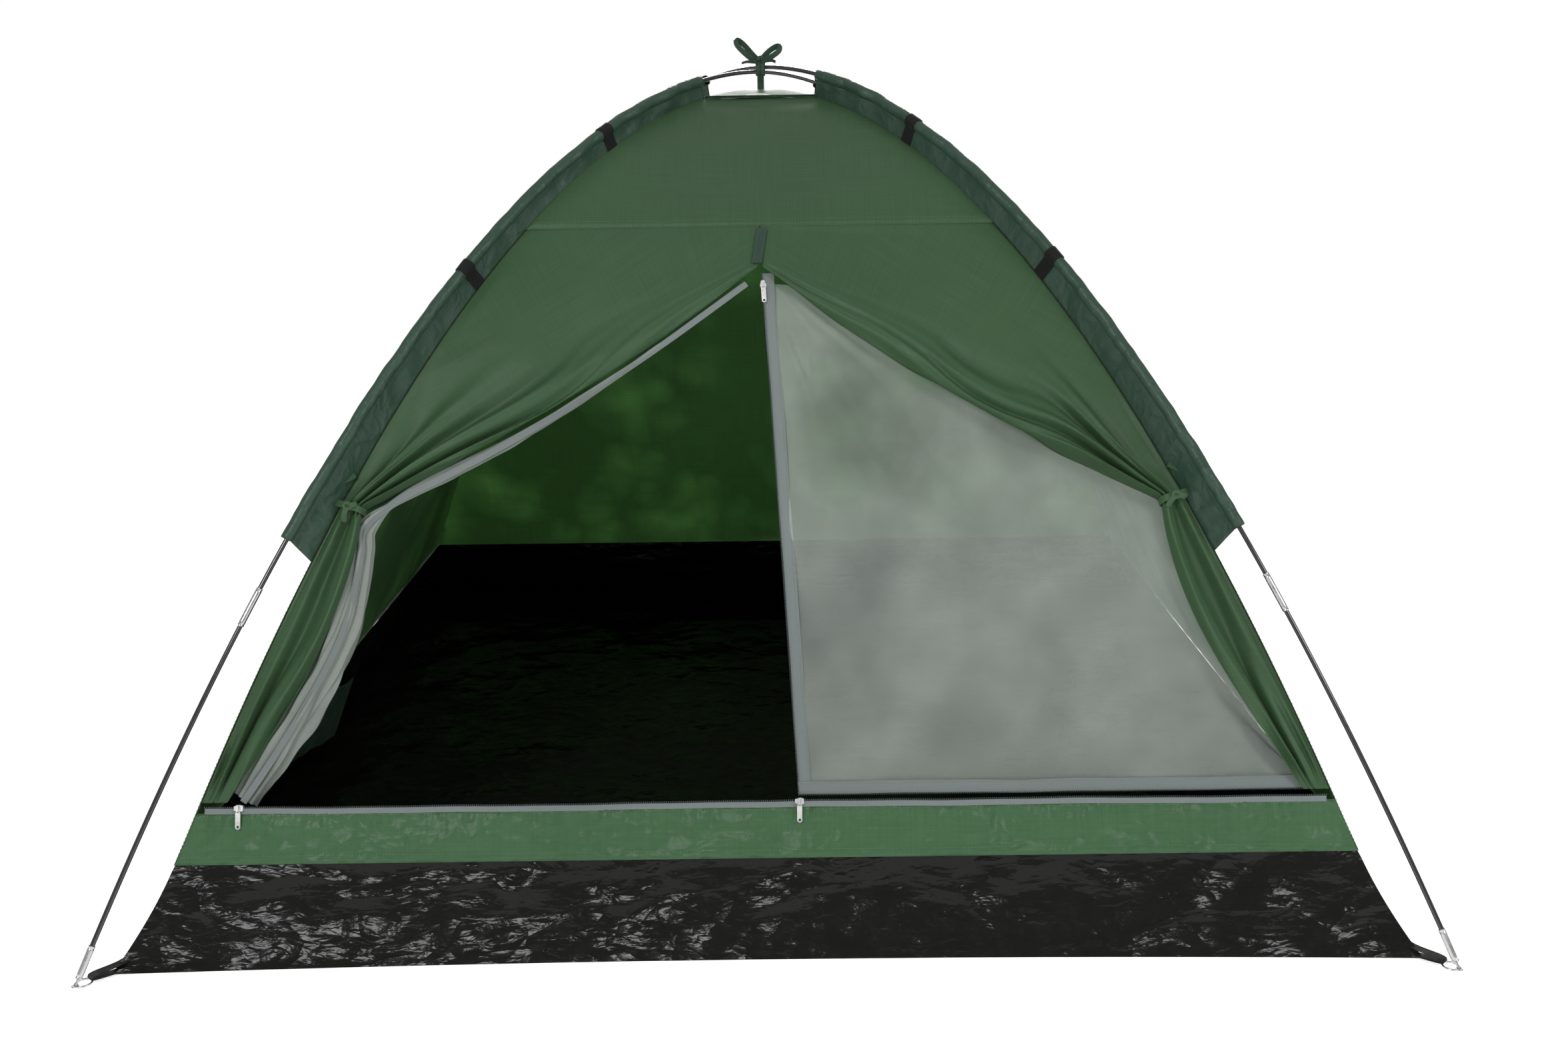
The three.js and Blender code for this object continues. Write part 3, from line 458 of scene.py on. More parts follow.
def curve_through(points, count):
    """A smooth path through a few points, evenly spaced."""
    points = np.asarray(points, float)
    padded = np.concatenate([2 * points[:1] - points[1:2], points, 2 * points[-1:] - points[-2:-1]])
    fine = []
    for i in range(len(points) - 1):
        p0, p1, p2, p3 = padded[i:i + 4]
        for t in np.linspace(0, 1, 24, endpoint=False):
            fine.append(0.5 * (2 * p1 + (p2 - p0) * t + (2 * p0 - 5 * p1 + 4 * p2 - p3) * t ** 2
                               + (3 * p1 - p0 - 3 * p2 + p3) * t ** 3))
    fine.append(points[-1])
    fine = np.array(fine)
    run = np.concatenate([[0], np.cumsum(np.linalg.norm(np.diff(fine, axis=0), axis=1))])
    even = np.linspace(0, run[-1], count)
    return np.stack([np.interp(even, run, fine[:, k]) for k in range(points.shape[1])], -1)


def fit(piece, body, slot, *nodes):
    """Puts a finished piece on its body and hides the nodes it stands for. slot is not used."""
    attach(piece, body)
    if nodes:
        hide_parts(*nodes)
    return piece


# ------------------------------------------------------------------ shader nodes
def node(tree, kind, inputs=None, **settings):
    """A shader node. inputs holds constants, or the sockets that feed it."""
    made = tree.nodes.new(kind)
    for name, value in settings.items():
        setattr(made, name, value)
    for name, value in (inputs or {}).items():
        socket = made.inputs[name]
        if isinstance(value, bpy.types.NodeSocket):
            tree.links.new(value, socket)
        else:
            socket.default_value = value
    return made


def maths(tree, operation, a, b=0.5, c=0.5):
    return node(tree, "ShaderNodeMath", {0: a, 1: b, 2: c}, operation=operation).outputs[0]


def vector_maths(tree, operation, a, b):
    return node(tree, "ShaderNodeVectorMath", {0: a, 1: b}, operation=operation).outputs[0]


def noise(tree, vector, scale, detail=2.0, roughness=0.5):
    return node(tree, "ShaderNodeTexNoise", {
        "Vector": vector, "Scale": scale, "Detail": detail, "Roughness": roughness})


def ranged(tree, value, low, high, to_low, to_high):
    return node(tree, "ShaderNodeMapRange", {
        "Value": value, "From Min": low, "From Max": high, "To Min": to_low,
        "To Max": to_high}).outputs["Result"]


def shader_group(name, inputs, outputs, fill):
    """A node group built once. inputs are (name, kind, default) and outputs (name, kind)."""
    found = bpy.data.node_groups.get(name)
    if found:
        return found
    tree = bpy.data.node_groups.new(name, "ShaderNodeTree")
    for label, kind, default in inputs:
        socket = tree.interface.new_socket(label, in_out="INPUT", socket_type=kind)
        if default is not None:
            socket.default_value = default
    for label, kind in outputs:
        tree.interface.new_socket(label, in_out="OUTPUT", socket_type=kind)
    start = tree.nodes.new("NodeGroupInput")
    end = tree.nodes.new("NodeGroupOutput")
    for label, socket in fill(tree, start.outputs).items():
        tree.links.new(socket, end.inputs[label])
    return tree


def placed(tree, group, inputs):
    made = node(tree, "ShaderNodeGroup", node_tree=group)
    for name, value in inputs.items():
        if isinstance(value, bpy.types.NodeSocket):
            tree.links.new(value, made.inputs[name])
        else:
            made.inputs[name].default_value = value
    return made.outputs


def threads_group():
    """Warp and weft of a fine plain weave, with the slubs of its yarns."""
    def fill(tree, given):
        stretched = []
        for turn in ((1.0, 0.018, 1.0), (0.018, 1.0, 1.0)):
            across = vector_maths(tree, "MULTIPLY", given["Cloth"], turn)
            stretched.append(noise(tree, across, given["Threads"], 1.5).outputs["Fac"])
        both = maths(tree, "ADD", *stretched)
        return {"Height": maths(tree, "MULTIPLY", both, 0.5),
                "Tone": ranged(tree, both, 0.6, 1.4, 0.9, 1.1)}
    return shader_group(
        "Plain weave threads",
        [("Cloth", "NodeSocketVector", None), ("Threads", "NodeSocketFloat", 400.0)],
        [("Height", "NodeSocketFloat"), ("Tone", "NodeSocketFloat")], fill)


def crumple_group():
    """Flat facets and sharp folds of a film or a coated cloth that was packed away."""
    def fill(tree, given):
        near = vector_maths(tree, "MULTIPLY", given["Place"], given["Stretch"])
        bend = noise(tree, near, given["Folds"], 2.0).outputs["Color"]
        bent = vector_maths(tree, "ADD", near, node(
            tree, "ShaderNodeVectorMath", {0: bend, "Scale": given["Bend"]},
            operation="SCALE").outputs[0])
        total = None
        for share, size in ((1.0, 1.0), (0.45, 2.3), (0.2, 5.1)):
            scale = maths(tree, "MULTIPLY", given["Folds"], size)
            cell = node(tree, "ShaderNodeTexVoronoi", {"Vector": bent, "Scale": scale},
                        feature="F1").outputs["Distance"]
            part = maths(tree, "MULTIPLY", cell, share)
            total = part if total is None else maths(tree, "ADD", total, part)
        return {"Height": total}
    return shader_group(
        "Crumpled sheet",
        [("Place", "NodeSocketVector", None), ("Stretch", "NodeSocketVector", (1, 1, 1)),
         ("Folds", "NodeSocketFloat", 12.0), ("Bend", "NodeSocketFloat", 0.08)],
        [("Height", "NodeSocketFloat")], fill)


def wear_group():
    """Slow changes of tone from sun and handling, and dust near the ground."""
    def fill(tree, given):
        slow = noise(tree, given["Place"], 2.4, 3.0).outputs["Fac"]
        tone = ranged(tree, slow, 0.3, 0.7, 0.93, 1.06)
        height = node(tree, "ShaderNodeSeparateXYZ", {0: given["Place"]}).outputs["Z"]
        low = ranged(tree, height, 0.0, 0.16, given["Dust"], 0.0)
        specks = noise(tree, given["Place"], 38.0, 4.0, 0.7).outputs["Fac"]
        dust = maths(tree, "MULTIPLY", low, ranged(tree, specks, 0.45, 0.7, 0.0, 1.0))
        return {"Tone": tone, "Dust": dust}
    return shader_group(
        "Fading and dust",
        [("Place", "NodeSocketVector", None), ("Dust", "NodeSocketFloat", 0.1)],
        [("Tone", "NodeSocketFloat"), ("Dust", "NodeSocketFloat")], fill)


def shaded(tree, base, *tones):
    """A colour made lighter and darker by one or more values near 1."""
    product = tones[0]
    for tone in tones[1:]:
        product = maths(tree, "MULTIPLY", product, tone)
    return node(tree, "ShaderNodeVectorMath", {0: (*base, ), "Scale": product},
                operation="SCALE").outputs[0]


def dusted(tree, base, dust, dust_colour=(0.30, 0.27, 0.22, 1)):
    return mix_colour(tree, dust, base, dust_colour)


def mix_colour(tree, share, a, b):
    made = tree.nodes.new("ShaderNodeMix")
    made.data_type = "RGBA"
    for socket, value in ((made.inputs[0], share), (made.inputs[6], a), (made.inputs[7], b)):
        if isinstance(value, bpy.types.NodeSocket):
            tree.links.new(value, socket)
        else:
            socket.default_value = value
    return made.outputs[2]


def bump(tree, height, strength, distance, under=None):
    inputs = {"Height": height, "Strength": strength, "Distance": distance}
    if under is not None:
        inputs["Normal"] = under
    return node(tree, "ShaderNodeBump", inputs).outputs["Normal"]


def fresh_material(name):
    """An empty material, its output, and the cloth and object coordinates."""
    material = bpy.data.materials.new(name)
    material.use_nodes = True
    tree = material.node_tree
    tree.nodes.clear()
    end = tree.nodes.new("ShaderNodeOutputMaterial")
    cloth = node(tree, "ShaderNodeUVMap", uv_map="cloth").outputs[0]
    place = node(tree, "ShaderNodeTexCoord").outputs["Object"]
    return material, tree, end, cloth, place


def principled(tree, inputs):
    return node(tree, "ShaderNodeBsdfPrincipled", inputs).outputs[0]


def made_once(build):
    """Keeps the material that a maker builds, so that each is made only once."""
    def maker():
        found = bpy.data.materials.get(build.__name__)
        return found or build()
    maker.__name__ = build.__name__
    return maker


def coated_polyester(name, base, through, light_share, folds, fold_height, dust,
                     roughness=0.46, threads=420.0, stretch=(1, 1, 1)):
    """Thin coated cloth that lets some light through, with threads and small creases, and painted
    shade of its folds in that light.
    """
    material, tree, end, cloth, place = fresh_material(name)
    weave = placed(tree, threads_group(), {"Cloth": cloth, "Threads": threads})
    wear = placed(tree, wear_group(), {"Place": place, "Dust": dust})
    crumple = placed(tree, crumple_group(), {
        "Place": place, "Folds": folds, "Stretch": stretch, "Bend": 0.10})
    soft = noise(tree, place, folds * 0.45, 2.0).outputs["Fac"]
    low = bump(tree, crumple["Height"], 0.55, fold_height)
    middle = bump(tree, soft, 0.5, fold_height * 6, low)
    normal = bump(tree, weave["Height"], 0.28, 0.0006, middle)
    front = dusted(tree, shaded(tree, base, weave["Tone"], wear["Tone"]), wear["Dust"])
    surface = principled(tree, {
        "Base Color": front, "Roughness": roughness, "Normal": normal,
        "Specular IOR Level": 0.30, "Sheen Weight": 0.04, "Sheen Roughness": 0.4,
        "Sheen Tint": (0.75, 0.9, 0.75, 1)})
    # Painted shade: the light through is scaled from 1.25 where the crumple height is low to 0.70
    # where it is high, so the folds show as dark and light lines.
    glow = node(tree, "ShaderNodeBsdfTranslucent", {
        "Color": shaded(tree, through, weave["Tone"], wear["Tone"],
                        ranged(tree, crumple["Height"], 0.2, 0.9, 1.25, 0.70)),
        "Normal": normal})
    mixed = node(tree, "ShaderNodeMixShader", {
        0: light_share, 1: surface, 2: glow.outputs[0]}).outputs[0]
    tree.links.new(mixed, end.inputs["Surface"])
    return material


@made_once
def canopy_polyester():
    return coated_polyester("canopy_polyester", tuple(colours().canopy), (0.218, 0.375, 0.18),
                            0.40, 4.0, 0.010, 0.03)


@made_once
def sleeve_polyester():
    return coated_polyester("sleeve_polyester", tuple(colours().sleeve), (0.05, 0.14, 0.07),
                            0.08, 16.0, 0.006, 0.0, roughness=0.42)


@made_once
def sill_polyester():
    return coated_polyester("sill_polyester", tuple(colours().sill), (0.14, 0.42, 0.12),
                            0.14, 9.0, 0.018, 0.02, roughness=0.42, stretch=(1, 1, 1.5))


@made_once
def tub_film():
    """Black tarpaulin of woven tapes, laminated and glossy, crumpled all over."""
    material, tree, end, cloth, place = fresh_material("tub_film")
    large = placed(tree, crumple_group(), {
        "Place": place, "Folds": 4.0, "Stretch": (1, 1, 2.4), "Bend": 0.16})
    small = placed(tree, crumple_group(), {
        "Place": place, "Folds": 26.0, "Stretch": (0.7, 1, 1.9), "Bend": 0.05})
    checks = node(tree, "ShaderNodeTexChecker", {"Vector": cloth, "Scale": 380.0})
    wear = placed(tree, wear_group(), {"Place": place, "Dust": 0.012})
    scuffs = noise(tree, place, 60.0, 5.0, 0.75).outputs["Fac"]
    low = bump(tree, large["Height"], 0.6, 0.030)
    middle = bump(tree, small["Height"], 0.45, 0.0034, low)
    normal = bump(tree, checks.outputs["Fac"], 0.12, 0.0002, middle)
    surface = principled(tree, {
        "Base Color": dusted(tree, shaded(tree, tuple(colours().tub), wear["Tone"]),
                             wear["Dust"]),
        "Roughness": ranged(tree, scuffs, 0.35, 0.75, 0.12, 0.22), "Normal": normal,
        "Specular IOR Level": 0.16})
    tree.links.new(surface, end.inputs["Surface"])
    return material


def see_through_net(name, base, cover, wrinkle):
    """Fine knitted net. Threads cover a share of it, more where it is creased."""
    material, tree, end, cloth, place = fresh_material(name)
    crumple = placed(tree, crumple_group(), {
        "Place": place, "Folds": 3.2, "Stretch": (1, 1, 0.7), "Bend": 0.22})
    soft = noise(tree, place, 7.0, 3.0, 0.6).outputs["Fac"]
    knit = node(tree, "ShaderNodeTexChecker", {"Vector": cloth, "Scale": 900.0})
    weave = placed(tree, threads_group(), {"Cloth": cloth, "Threads": 620.0})
    low = bump(tree, crumple["Height"], 0.5, wrinkle)
    normal = bump(tree, weave["Height"], 0.06, 0.0002, low)
    crease = ranged(tree, crumple["Height"], 0.25, 0.95, 0.72, 1.40)
    cloud = ranged(tree, soft, 0.3, 0.7, 0.93, 1.07)
    holes = ranged(tree, knit.outputs["Fac"], 0.0, 1.0, 0.985, 1.015)
    alpha = maths(tree, "MULTIPLY", maths(tree, "MULTIPLY", crease, cloud),
                  maths(tree, "MULTIPLY", holes, cover))
    surface = principled(tree, {
        "Base Color": shaded(tree, base, weave["Tone"], cloud), "Roughness": 0.55,
        "Normal": normal, "Alpha": alpha, "Specular IOR Level": 0.35,
        "Sheen Weight": 0.2, "Sheen Roughness": 0.35})
    tree.links.new(surface, end.inputs["Surface"])
    return material


@made_once
def door_net():
    return see_through_net("door_net", tuple(0.95 * c for c in colours().net), 0.220, 0.020)


# Painted shade: the gathered net uses 0.30 of the net's thread colour, for the shade inside the
# roll, not a darker thread.
@made_once
def gathered_net():
    return see_through_net("gathered_net", tuple(0.30 * c for c in colours().net), 0.84, 0.006)


def ribbed_tape(name, base, rib, roughness, tone=1.0):
    """Narrow woven tape with ribs across it and a firmer edge."""
    material, tree, end, cloth, place = fresh_material(name)
    ribs = node(tree, "ShaderNodeTexWave", {
        "Vector": cloth, "Scale": rib, "Distortion": 0.6, "Detail": 1.0},
        bands_direction="Y", wave_type="BANDS").outputs["Fac"]
    weave = placed(tree, threads_group(), {"Cloth": cloth, "Threads": 900.0})
    wear = placed(tree, wear_group(), {"Place": place, "Dust": 0.12})
    low = bump(tree, ribs, 0.5, 0.0005)
    normal = bump(tree, weave["Height"], 0.35, 0.0006, low)
    dark = ranged(tree, ribs, 0.0, 1.0, 0.82 * tone, 1.08 * tone)
    surface = principled(tree, {
        "Base Color": dusted(tree, shaded(tree, base, dark, weave["Tone"], wear["Tone"]),
                             wear["Dust"]),
        "Roughness": roughness, "Normal": normal, "Specular IOR Level": 0.2,
        "Sheen Weight": 0.04, "Sheen Roughness": 0.5})
    tree.links.new(surface, end.inputs["Surface"])
    return material


@made_once
def zip_tape_cloth():
    return ribbed_tape("zip_tape_cloth", tuple(colours().zip_tape), 260.0, 0.75)


@made_once
def webbing_cloth():
    return ribbed_tape("webbing_cloth", tuple(colours().webbing), 190.0, 0.7)


@made_once
def fine_tape_cloth():
    return ribbed_tape("fine_tape_cloth", tuple(colours().sleeve), 240.0, 0.62)


def hard_finish(name, base, roughness, metallic, streaks, pits, extra=None):
    """Metal, lacquer or glass fibre with drawn streaks, fine pits and rubbed places."""
    material, tree, end, _, place = fresh_material(name)
    drawn = noise(tree, vector_maths(tree, "MULTIPLY", place, streaks), 1.0, 3.0, 0.6)
    grain = noise(tree, place, 900.0, 2.0).outputs["Fac"]
    rubbed = noise(tree, place, 55.0, 4.0, 0.7).outputs["Fac"]
    height = maths(tree, "ADD", drawn.outputs["Fac"], maths(tree, "MULTIPLY", grain, 0.3))
    surface = principled(tree, {
        "Base Color": shaded(tree, base, ranged(tree, rubbed, 0.35, 0.7, 0.9, 1.05)),
        "Roughness": ranged(tree, rubbed, 0.35, 0.7, roughness * 0.75, roughness * 1.5),
        "Metallic": metallic, "Normal": bump(tree, height, 0.2, pits), **(extra or {})})
    tree.links.new(surface, end.inputs["Surface"])
    return material


@made_once
def glass_fibre():
    return hard_finish("glass_fibre", tuple(colours().fibreglass), 0.17, 0.0,
                       (240, 240, 30), 0.0002, {"Coat Weight": 0.5, "Coat Roughness": 0.08})


@made_once
def plated_steel():
    return hard_finish("plated_steel", tuple(colours().steel), 0.26, 1.0,
                       (500, 500, 60), 0.0002)


@made_once
def white_lacquer():
    return hard_finish("white_lacquer", tuple(colours().lacquer), 0.30, 0.65,
                       (90, 90, 90), 0.0001, {"Coat Weight": 0.3, "Coat Roughness": 0.1})


@made_once
def moulded_coil():
    return hard_finish("moulded_coil", tuple(colours().tooth), 0.38, 0.0,
                       (200, 200, 200), 0.0001)


@made_once
def rust_thread():
    return hard_finish("rust_thread", tuple(colours().thread), 0.7, 0.0,
                       (900, 900, 900), 0.0002)


@made_once
def pale_sill_thread():
    return hard_finish("pale_sill_thread", tuple(colours().pale_thread), 0.7, 0.0,
                       (900, 900, 900), 0.0002)


@made_once
def studio_floor():
    material, tree, end, _, place = fresh_material("studio_floor")
    grain = noise(tree, place, 40.0, 4.0).outputs["Fac"]
    surface = principled(tree, {
        "Base Color": shaded(tree, (0.86, 0.86, 0.86), ranged(tree, grain, 0.3, 0.7, 0.99, 1.01)),
        "Roughness": 0.85, "Specular IOR Level": 0.1,
        "Emission Color": (1, 1, 1, 1), "Emission Strength": 0.66})
    tree.links.new(surface, end.inputs["Surface"])
    return material


# ------------------------------------------------------------------ repeats along a path
def link_tree(tree, pairs):
    for output, given in pairs:
        tree.links.new(output, given)


def row_tree():
    """Geometry Nodes: small blocks at even steps along a path, turned to its outward side."""
    name = "Row along a path"
    found = bpy.data.node_groups.get(name)
    if found:
        return found
    tree = bpy.data.node_groups.new(name, "GeometryNodeTree")
    face = tree.interface
    face.new_socket("Geometry", in_out="INPUT", socket_type="NodeSocketGeometry")
    for label, kind, default in (
            ("Pitch", "NodeSocketFloat", 0.003), ("Size", "NodeSocketVector", (1, 1, 1)),
            ("Slant", "NodeSocketFloat", 0.0), ("Jitter", "NodeSocketFloat", 0.0),
            ("Seed", "NodeSocketInt", 1), ("Finish", "NodeSocketMaterial", None)):
        socket = face.new_socket(label, in_out="INPUT", socket_type=kind)
        if default is not None:
            socket.default_value = default
    face.new_socket("Geometry", in_out="OUTPUT", socket_type="NodeSocketGeometry")
    add = tree.nodes.new
    given, end = add("NodeGroupInput").outputs, add("NodeGroupOutput")
    to_curve, resample = add("GeometryNodeMeshToCurve"), add("GeometryNodeResampleCurve")
    resample.mode = "LENGTH"
    outward = add("GeometryNodeInputNamedAttribute")
    outward.data_type = "FLOAT_VECTOR"
    outward.inputs["Name"].default_value = "outward"
    tangent = add("GeometryNodeInputTangent")
    first, second = (add("FunctionNodeAlignRotationToVector") for _ in range(2))
    first.axis, first.pivot_axis = "X", "AUTO"
    second.axis, second.pivot_axis = "Z", "X"
    turn, spin = add("FunctionNodeRotateRotation"), add("FunctionNodeAxisAngleToRotation")
    turn.rotation_space = "LOCAL"
    spin.inputs["Axis"].default_value = (0, 0, 1)
    chance = add("FunctionNodeRandomValue")
    chance.data_type = "FLOAT"
    minus = add("ShaderNodeMath")
    minus.operation = "MULTIPLY"
    minus.inputs[1].default_value = -1.0
    plus = add("ShaderNodeMath")
    plus.operation = "ADD"
    block, smoothed = add("GeometryNodeMeshIcoSphere"), add("GeometryNodeSetShadeSmooth")
    block.inputs["Subdivisions"].default_value = 1
    block.inputs["Radius"].default_value = 0.5
    place, realize = add("GeometryNodeInstanceOnPoints"), add("GeometryNodeRealizeInstances")
    finish = add("GeometryNodeSetMaterial")
    link_tree(tree, (
        (given["Geometry"], to_curve.inputs["Mesh"]),
        (to_curve.outputs["Curve"], resample.inputs["Curve"]),
        (given["Pitch"], resample.inputs["Length"]),
        (tangent.outputs["Tangent"], first.inputs["Vector"]),
        (first.outputs["Rotation"], second.inputs["Rotation"]),
        (outward.outputs["Attribute"], second.inputs["Vector"]),
        (second.outputs["Rotation"], turn.inputs["Rotation"]),
        (given["Jitter"], chance.inputs[3]), (given["Jitter"], minus.inputs[0]),
        (minus.outputs[0], chance.inputs[2]), (given["Seed"], chance.inputs["Seed"]),
        (chance.outputs[1], plus.inputs[0]), (given["Slant"], plus.inputs[1]),
        (plus.outputs[0], spin.inputs["Angle"]),
        (spin.outputs["Rotation"], turn.inputs["Rotate By"]),
        (resample.outputs["Curve"], place.inputs["Points"]),
        (block.outputs["Mesh"], place.inputs["Instance"]),
        (turn.outputs["Rotation"], place.inputs["Rotation"]),
        (given["Size"], place.inputs["Scale"]),
        (place.outputs["Instances"], realize.inputs["Geometry"]),
        (realize.outputs["Geometry"], smoothed.inputs["Geometry"]),
        (smoothed.outputs["Geometry"], finish.inputs["Geometry"]),
        (given["Finish"], finish.inputs["Material"]),
        (finish.outputs["Geometry"], end.inputs["Geometry"])))
    return tree


def row_along(name, paths, outwards, pitch, size, material, slant=0.0, jitter=0.0, seed=1):
    """One mesh of small rounded blocks along one or more paths. size is along, across, up."""
    points, edges, away = [], [], []
    for path, outward in zip(paths, outwards):
        first = len(points)
        points.extend(path.tolist())
        edges.extend((first + i, first + i + 1) for i in range(len(path) - 1))
        away.append(np.broadcast_to(outward, path.shape))
    mesh = bpy.data.meshes.new(name)
    mesh.from_pydata(points, edges, [])
    attribute = mesh.attributes.new("outward", "FLOAT_VECTOR", "POINT")
    attribute.data.foreach_set("vector", np.concatenate(away).astype(np.float32).ravel())
    carrier = bpy.data.objects.new(name + "_path", mesh)
    bpy.context.scene.collection.objects.link(carrier)
    rows = carrier.modifiers.new("rows", "NODES")
    rows.node_group = row_tree()
    values = {"Pitch": pitch, "Size": size, "Slant": slant, "Jitter": jitter, "Seed": seed,
              "Finish": material}
    for item in rows.node_group.interface.items_tree:
        if item.in_out == "INPUT" and item.name in values:
            rows[item.identifier] = values[item.name]
    graph = bpy.context.evaluated_depsgraph_get()
    made = bpy.data.meshes.new_from_object(carrier.evaluated_get(graph))
    bpy.data.objects.remove(carrier)
    if len(made.polygons) == 0:
        raise RuntimeError(f"{name}: the row along its path came out empty")
    made.name = name
    piece = bpy.data.objects.new(name, made)
    bpy.context.scene.collection.objects.link(piece)
    return piece


# ------------------------------------------------------------------ stage
def look_axes(yaw, pitch, roll):
    """A camera's matrix, turned from looking along +Y by angles in degrees."""
    yaw, pitch, roll = (math.radians(a) for a in (yaw, pitch, roll))
    ahead = Vector((math.sin(yaw) * math.cos(pitch), math.cos(yaw) * math.cos(pitch),
                    -math.sin(pitch)))
    right = ahead.cross(Vector((0, 0, 1))).normalized()
    above = right.cross(ahead)
    level = math.cos(roll) * right + math.sin(roll) * above
    upright = -math.sin(roll) * right + math.cos(roll) * above
    return Matrix((level, upright, -ahead)).transposed().to_4x4()


def soft_box(name, place, target, size, power, tint=(1, 1, 1)):
    light = bpy.data.lights.new(name, "AREA")
    light.shape = "SQUARE"
    light.size = size
    light.energy = power
    light.color = tint
    lamp = bpy.data.objects.new(name, light)
    lamp.location = place
    lamp.rotation_euler = (Vector(target) - Vector(place)).to_track_quat("-Z", "Y").to_euler()
    bpy.context.scene.collection.objects.link(lamp)


# name, place, what it points at, side, power, tint
SOFT_BOXES = (
    ("key_left", (-1.7, -4.1, 3.1), (0, -0.3, 0.5), 1.1, 80, (1, 1, 1)),
    ("key_right", (2.9, -3.4, 2.7), (0, -0.3, 0.5), 1.0, 60, (1, 1, 1)),
    ("back_light", (0.4, 3.9, 2.4), (0, 0.6, 0.7), 2.4, 235, (1.0, 1.0, 0.97)),
    ("top_light", (0, 0.2, 4.2), (0, 0, 0), 2.6, 12, (1, 1, 1)),
)
CAMERA_PLACE = (0.047, -3.087, 1.248)
CAMERA_TURNS = (-0.26, 14.62, -0.853)  # yaw, pitch and roll, in degrees
CAMERA_LENS, CAMERA_SENSOR = 34.6, 36.0  # millimetres
GROUND_DROP = 0.0015  # the ground lies this far below the tent


class TENT_OT_stage(bpy.types.Operator):
    """A pale floor, soft lights and the camera in front of the door"""

    bl_idname = "tent.stage"
    bl_label = "Stage"

    def execute(self, context):
        scene = context.scene
        side = np.concatenate([-np.geomspace(40, 0.5, 9), np.geomspace(0.5, 40, 9)])
        x, y = np.meshgrid(side, side)
        ground = np.stack([x, y, np.full_like(x, -GROUND_DROP)], -1)
        floor = Cloth().grid(ground).piece("studio_floor", studio_floor(),
                                           outwards=(0, 0, -1))
        for name, place, target, side_length, power, tint in SOFT_BOXES:
            soft_box(name, place, target, side_length, power, tint)
        world = bpy.data.worlds.new("studio_air")
        world.use_nodes = True
        tree = world.node_tree
        tree.nodes.clear()
        air = node(tree, "ShaderNodeBackground", {"Color": (0.97, 0.98, 1.0, 1), "Strength": 0.46})
        seen = node(tree, "ShaderNodeBackground", {"Color": (1, 1, 1, 1), "Strength": 1.0})
        ray = node(tree, "ShaderNodeLightPath").outputs["Is Camera Ray"]
        mixed = node(tree, "ShaderNodeMixShader", {0: ray, 1: air.outputs[0], 2: seen.outputs[0]})
        end = node(tree, "ShaderNodeOutputWorld")
        tree.links.new(mixed.outputs[0], end.inputs["Surface"])
        scene.world = world
        scene.view_settings.view_transform = "Standard"
        lens = bpy.data.cameras.new("camera")
        lens.sensor_width = CAMERA_SENSOR
        lens.lens = CAMERA_LENS
        lens.clip_end = 100
        camera = bpy.data.objects.new("camera", lens)
        camera.matrix_world = Matrix.Translation(CAMERA_PLACE) @ look_axes(*CAMERA_TURNS)
        scene.collection.objects.link(camera)
        scene.camera = camera
        return {"FINISHED"}


# ------------------------------------------------------------------ canopy
def wall_relief(f, z, seed, top):
    """How far a stretched wall lies outside its arch: hollow between the poles, with folds."""
    s = sizes()
    x = f * canopy_half(z)
    run = wall_run(z)
    share = np.clip((z - s.wall_foot) / (top - s.wall_foot), 0, 1)
    foot = np.exp(-((z - s.wall_foot + s.hem) / 0.02) ** 2)
    hollow = (0.004 + 0.012 * np.sin(math.pi * share ** 0.8)) * (1 - f ** 2)
    edge = (1 - np.abs(f)) * canopy_half(z)
    free = smooth(edge, 0.0, 0.10)
    waves = 0.0026 * ripple(x, run, seed, 7, 0.16, 0.6)
    stretch = 0.0042 * creases(x, run, seed + 7, 6, 0.16, 0.48, along=0.9 * math.pi / 2,
                               spread=0.5) * smooth(1 - share, 0.2, 1.0)
    hem = 0.0022 * ripple(x, run * 0.3, seed + 13, 6, 0.05, 0.12, along=math.pi / 2, spread=0.1)
    hem = hem * np.exp(-np.maximum(run - wall_run(s.wall_foot), 0) / 0.07)
    pucker = 0.0016 * np.sin(2 * math.pi * run / 0.031 + 3 * ripple(
        run, 0 * run, seed + 17, 4, 0.2, 0.5)) * np.exp(-edge / 0.03) * smooth(edge, 0, 0.012)
    held = 1 - 0.8 * foot
    return held * (free * (waves + stretch + hem) - hollow) + pucker + 0.0012 * foot


def sheet_area(bottom, top, samples=200):
    """Flat area of one wall between two heights."""
    z = np.linspace(bottom, top, samples)
    width = 2 * canopy_half(z)
    return float(np.sum((width[1:] + width[:-1]) / 2 * np.diff(wall_run(z))))


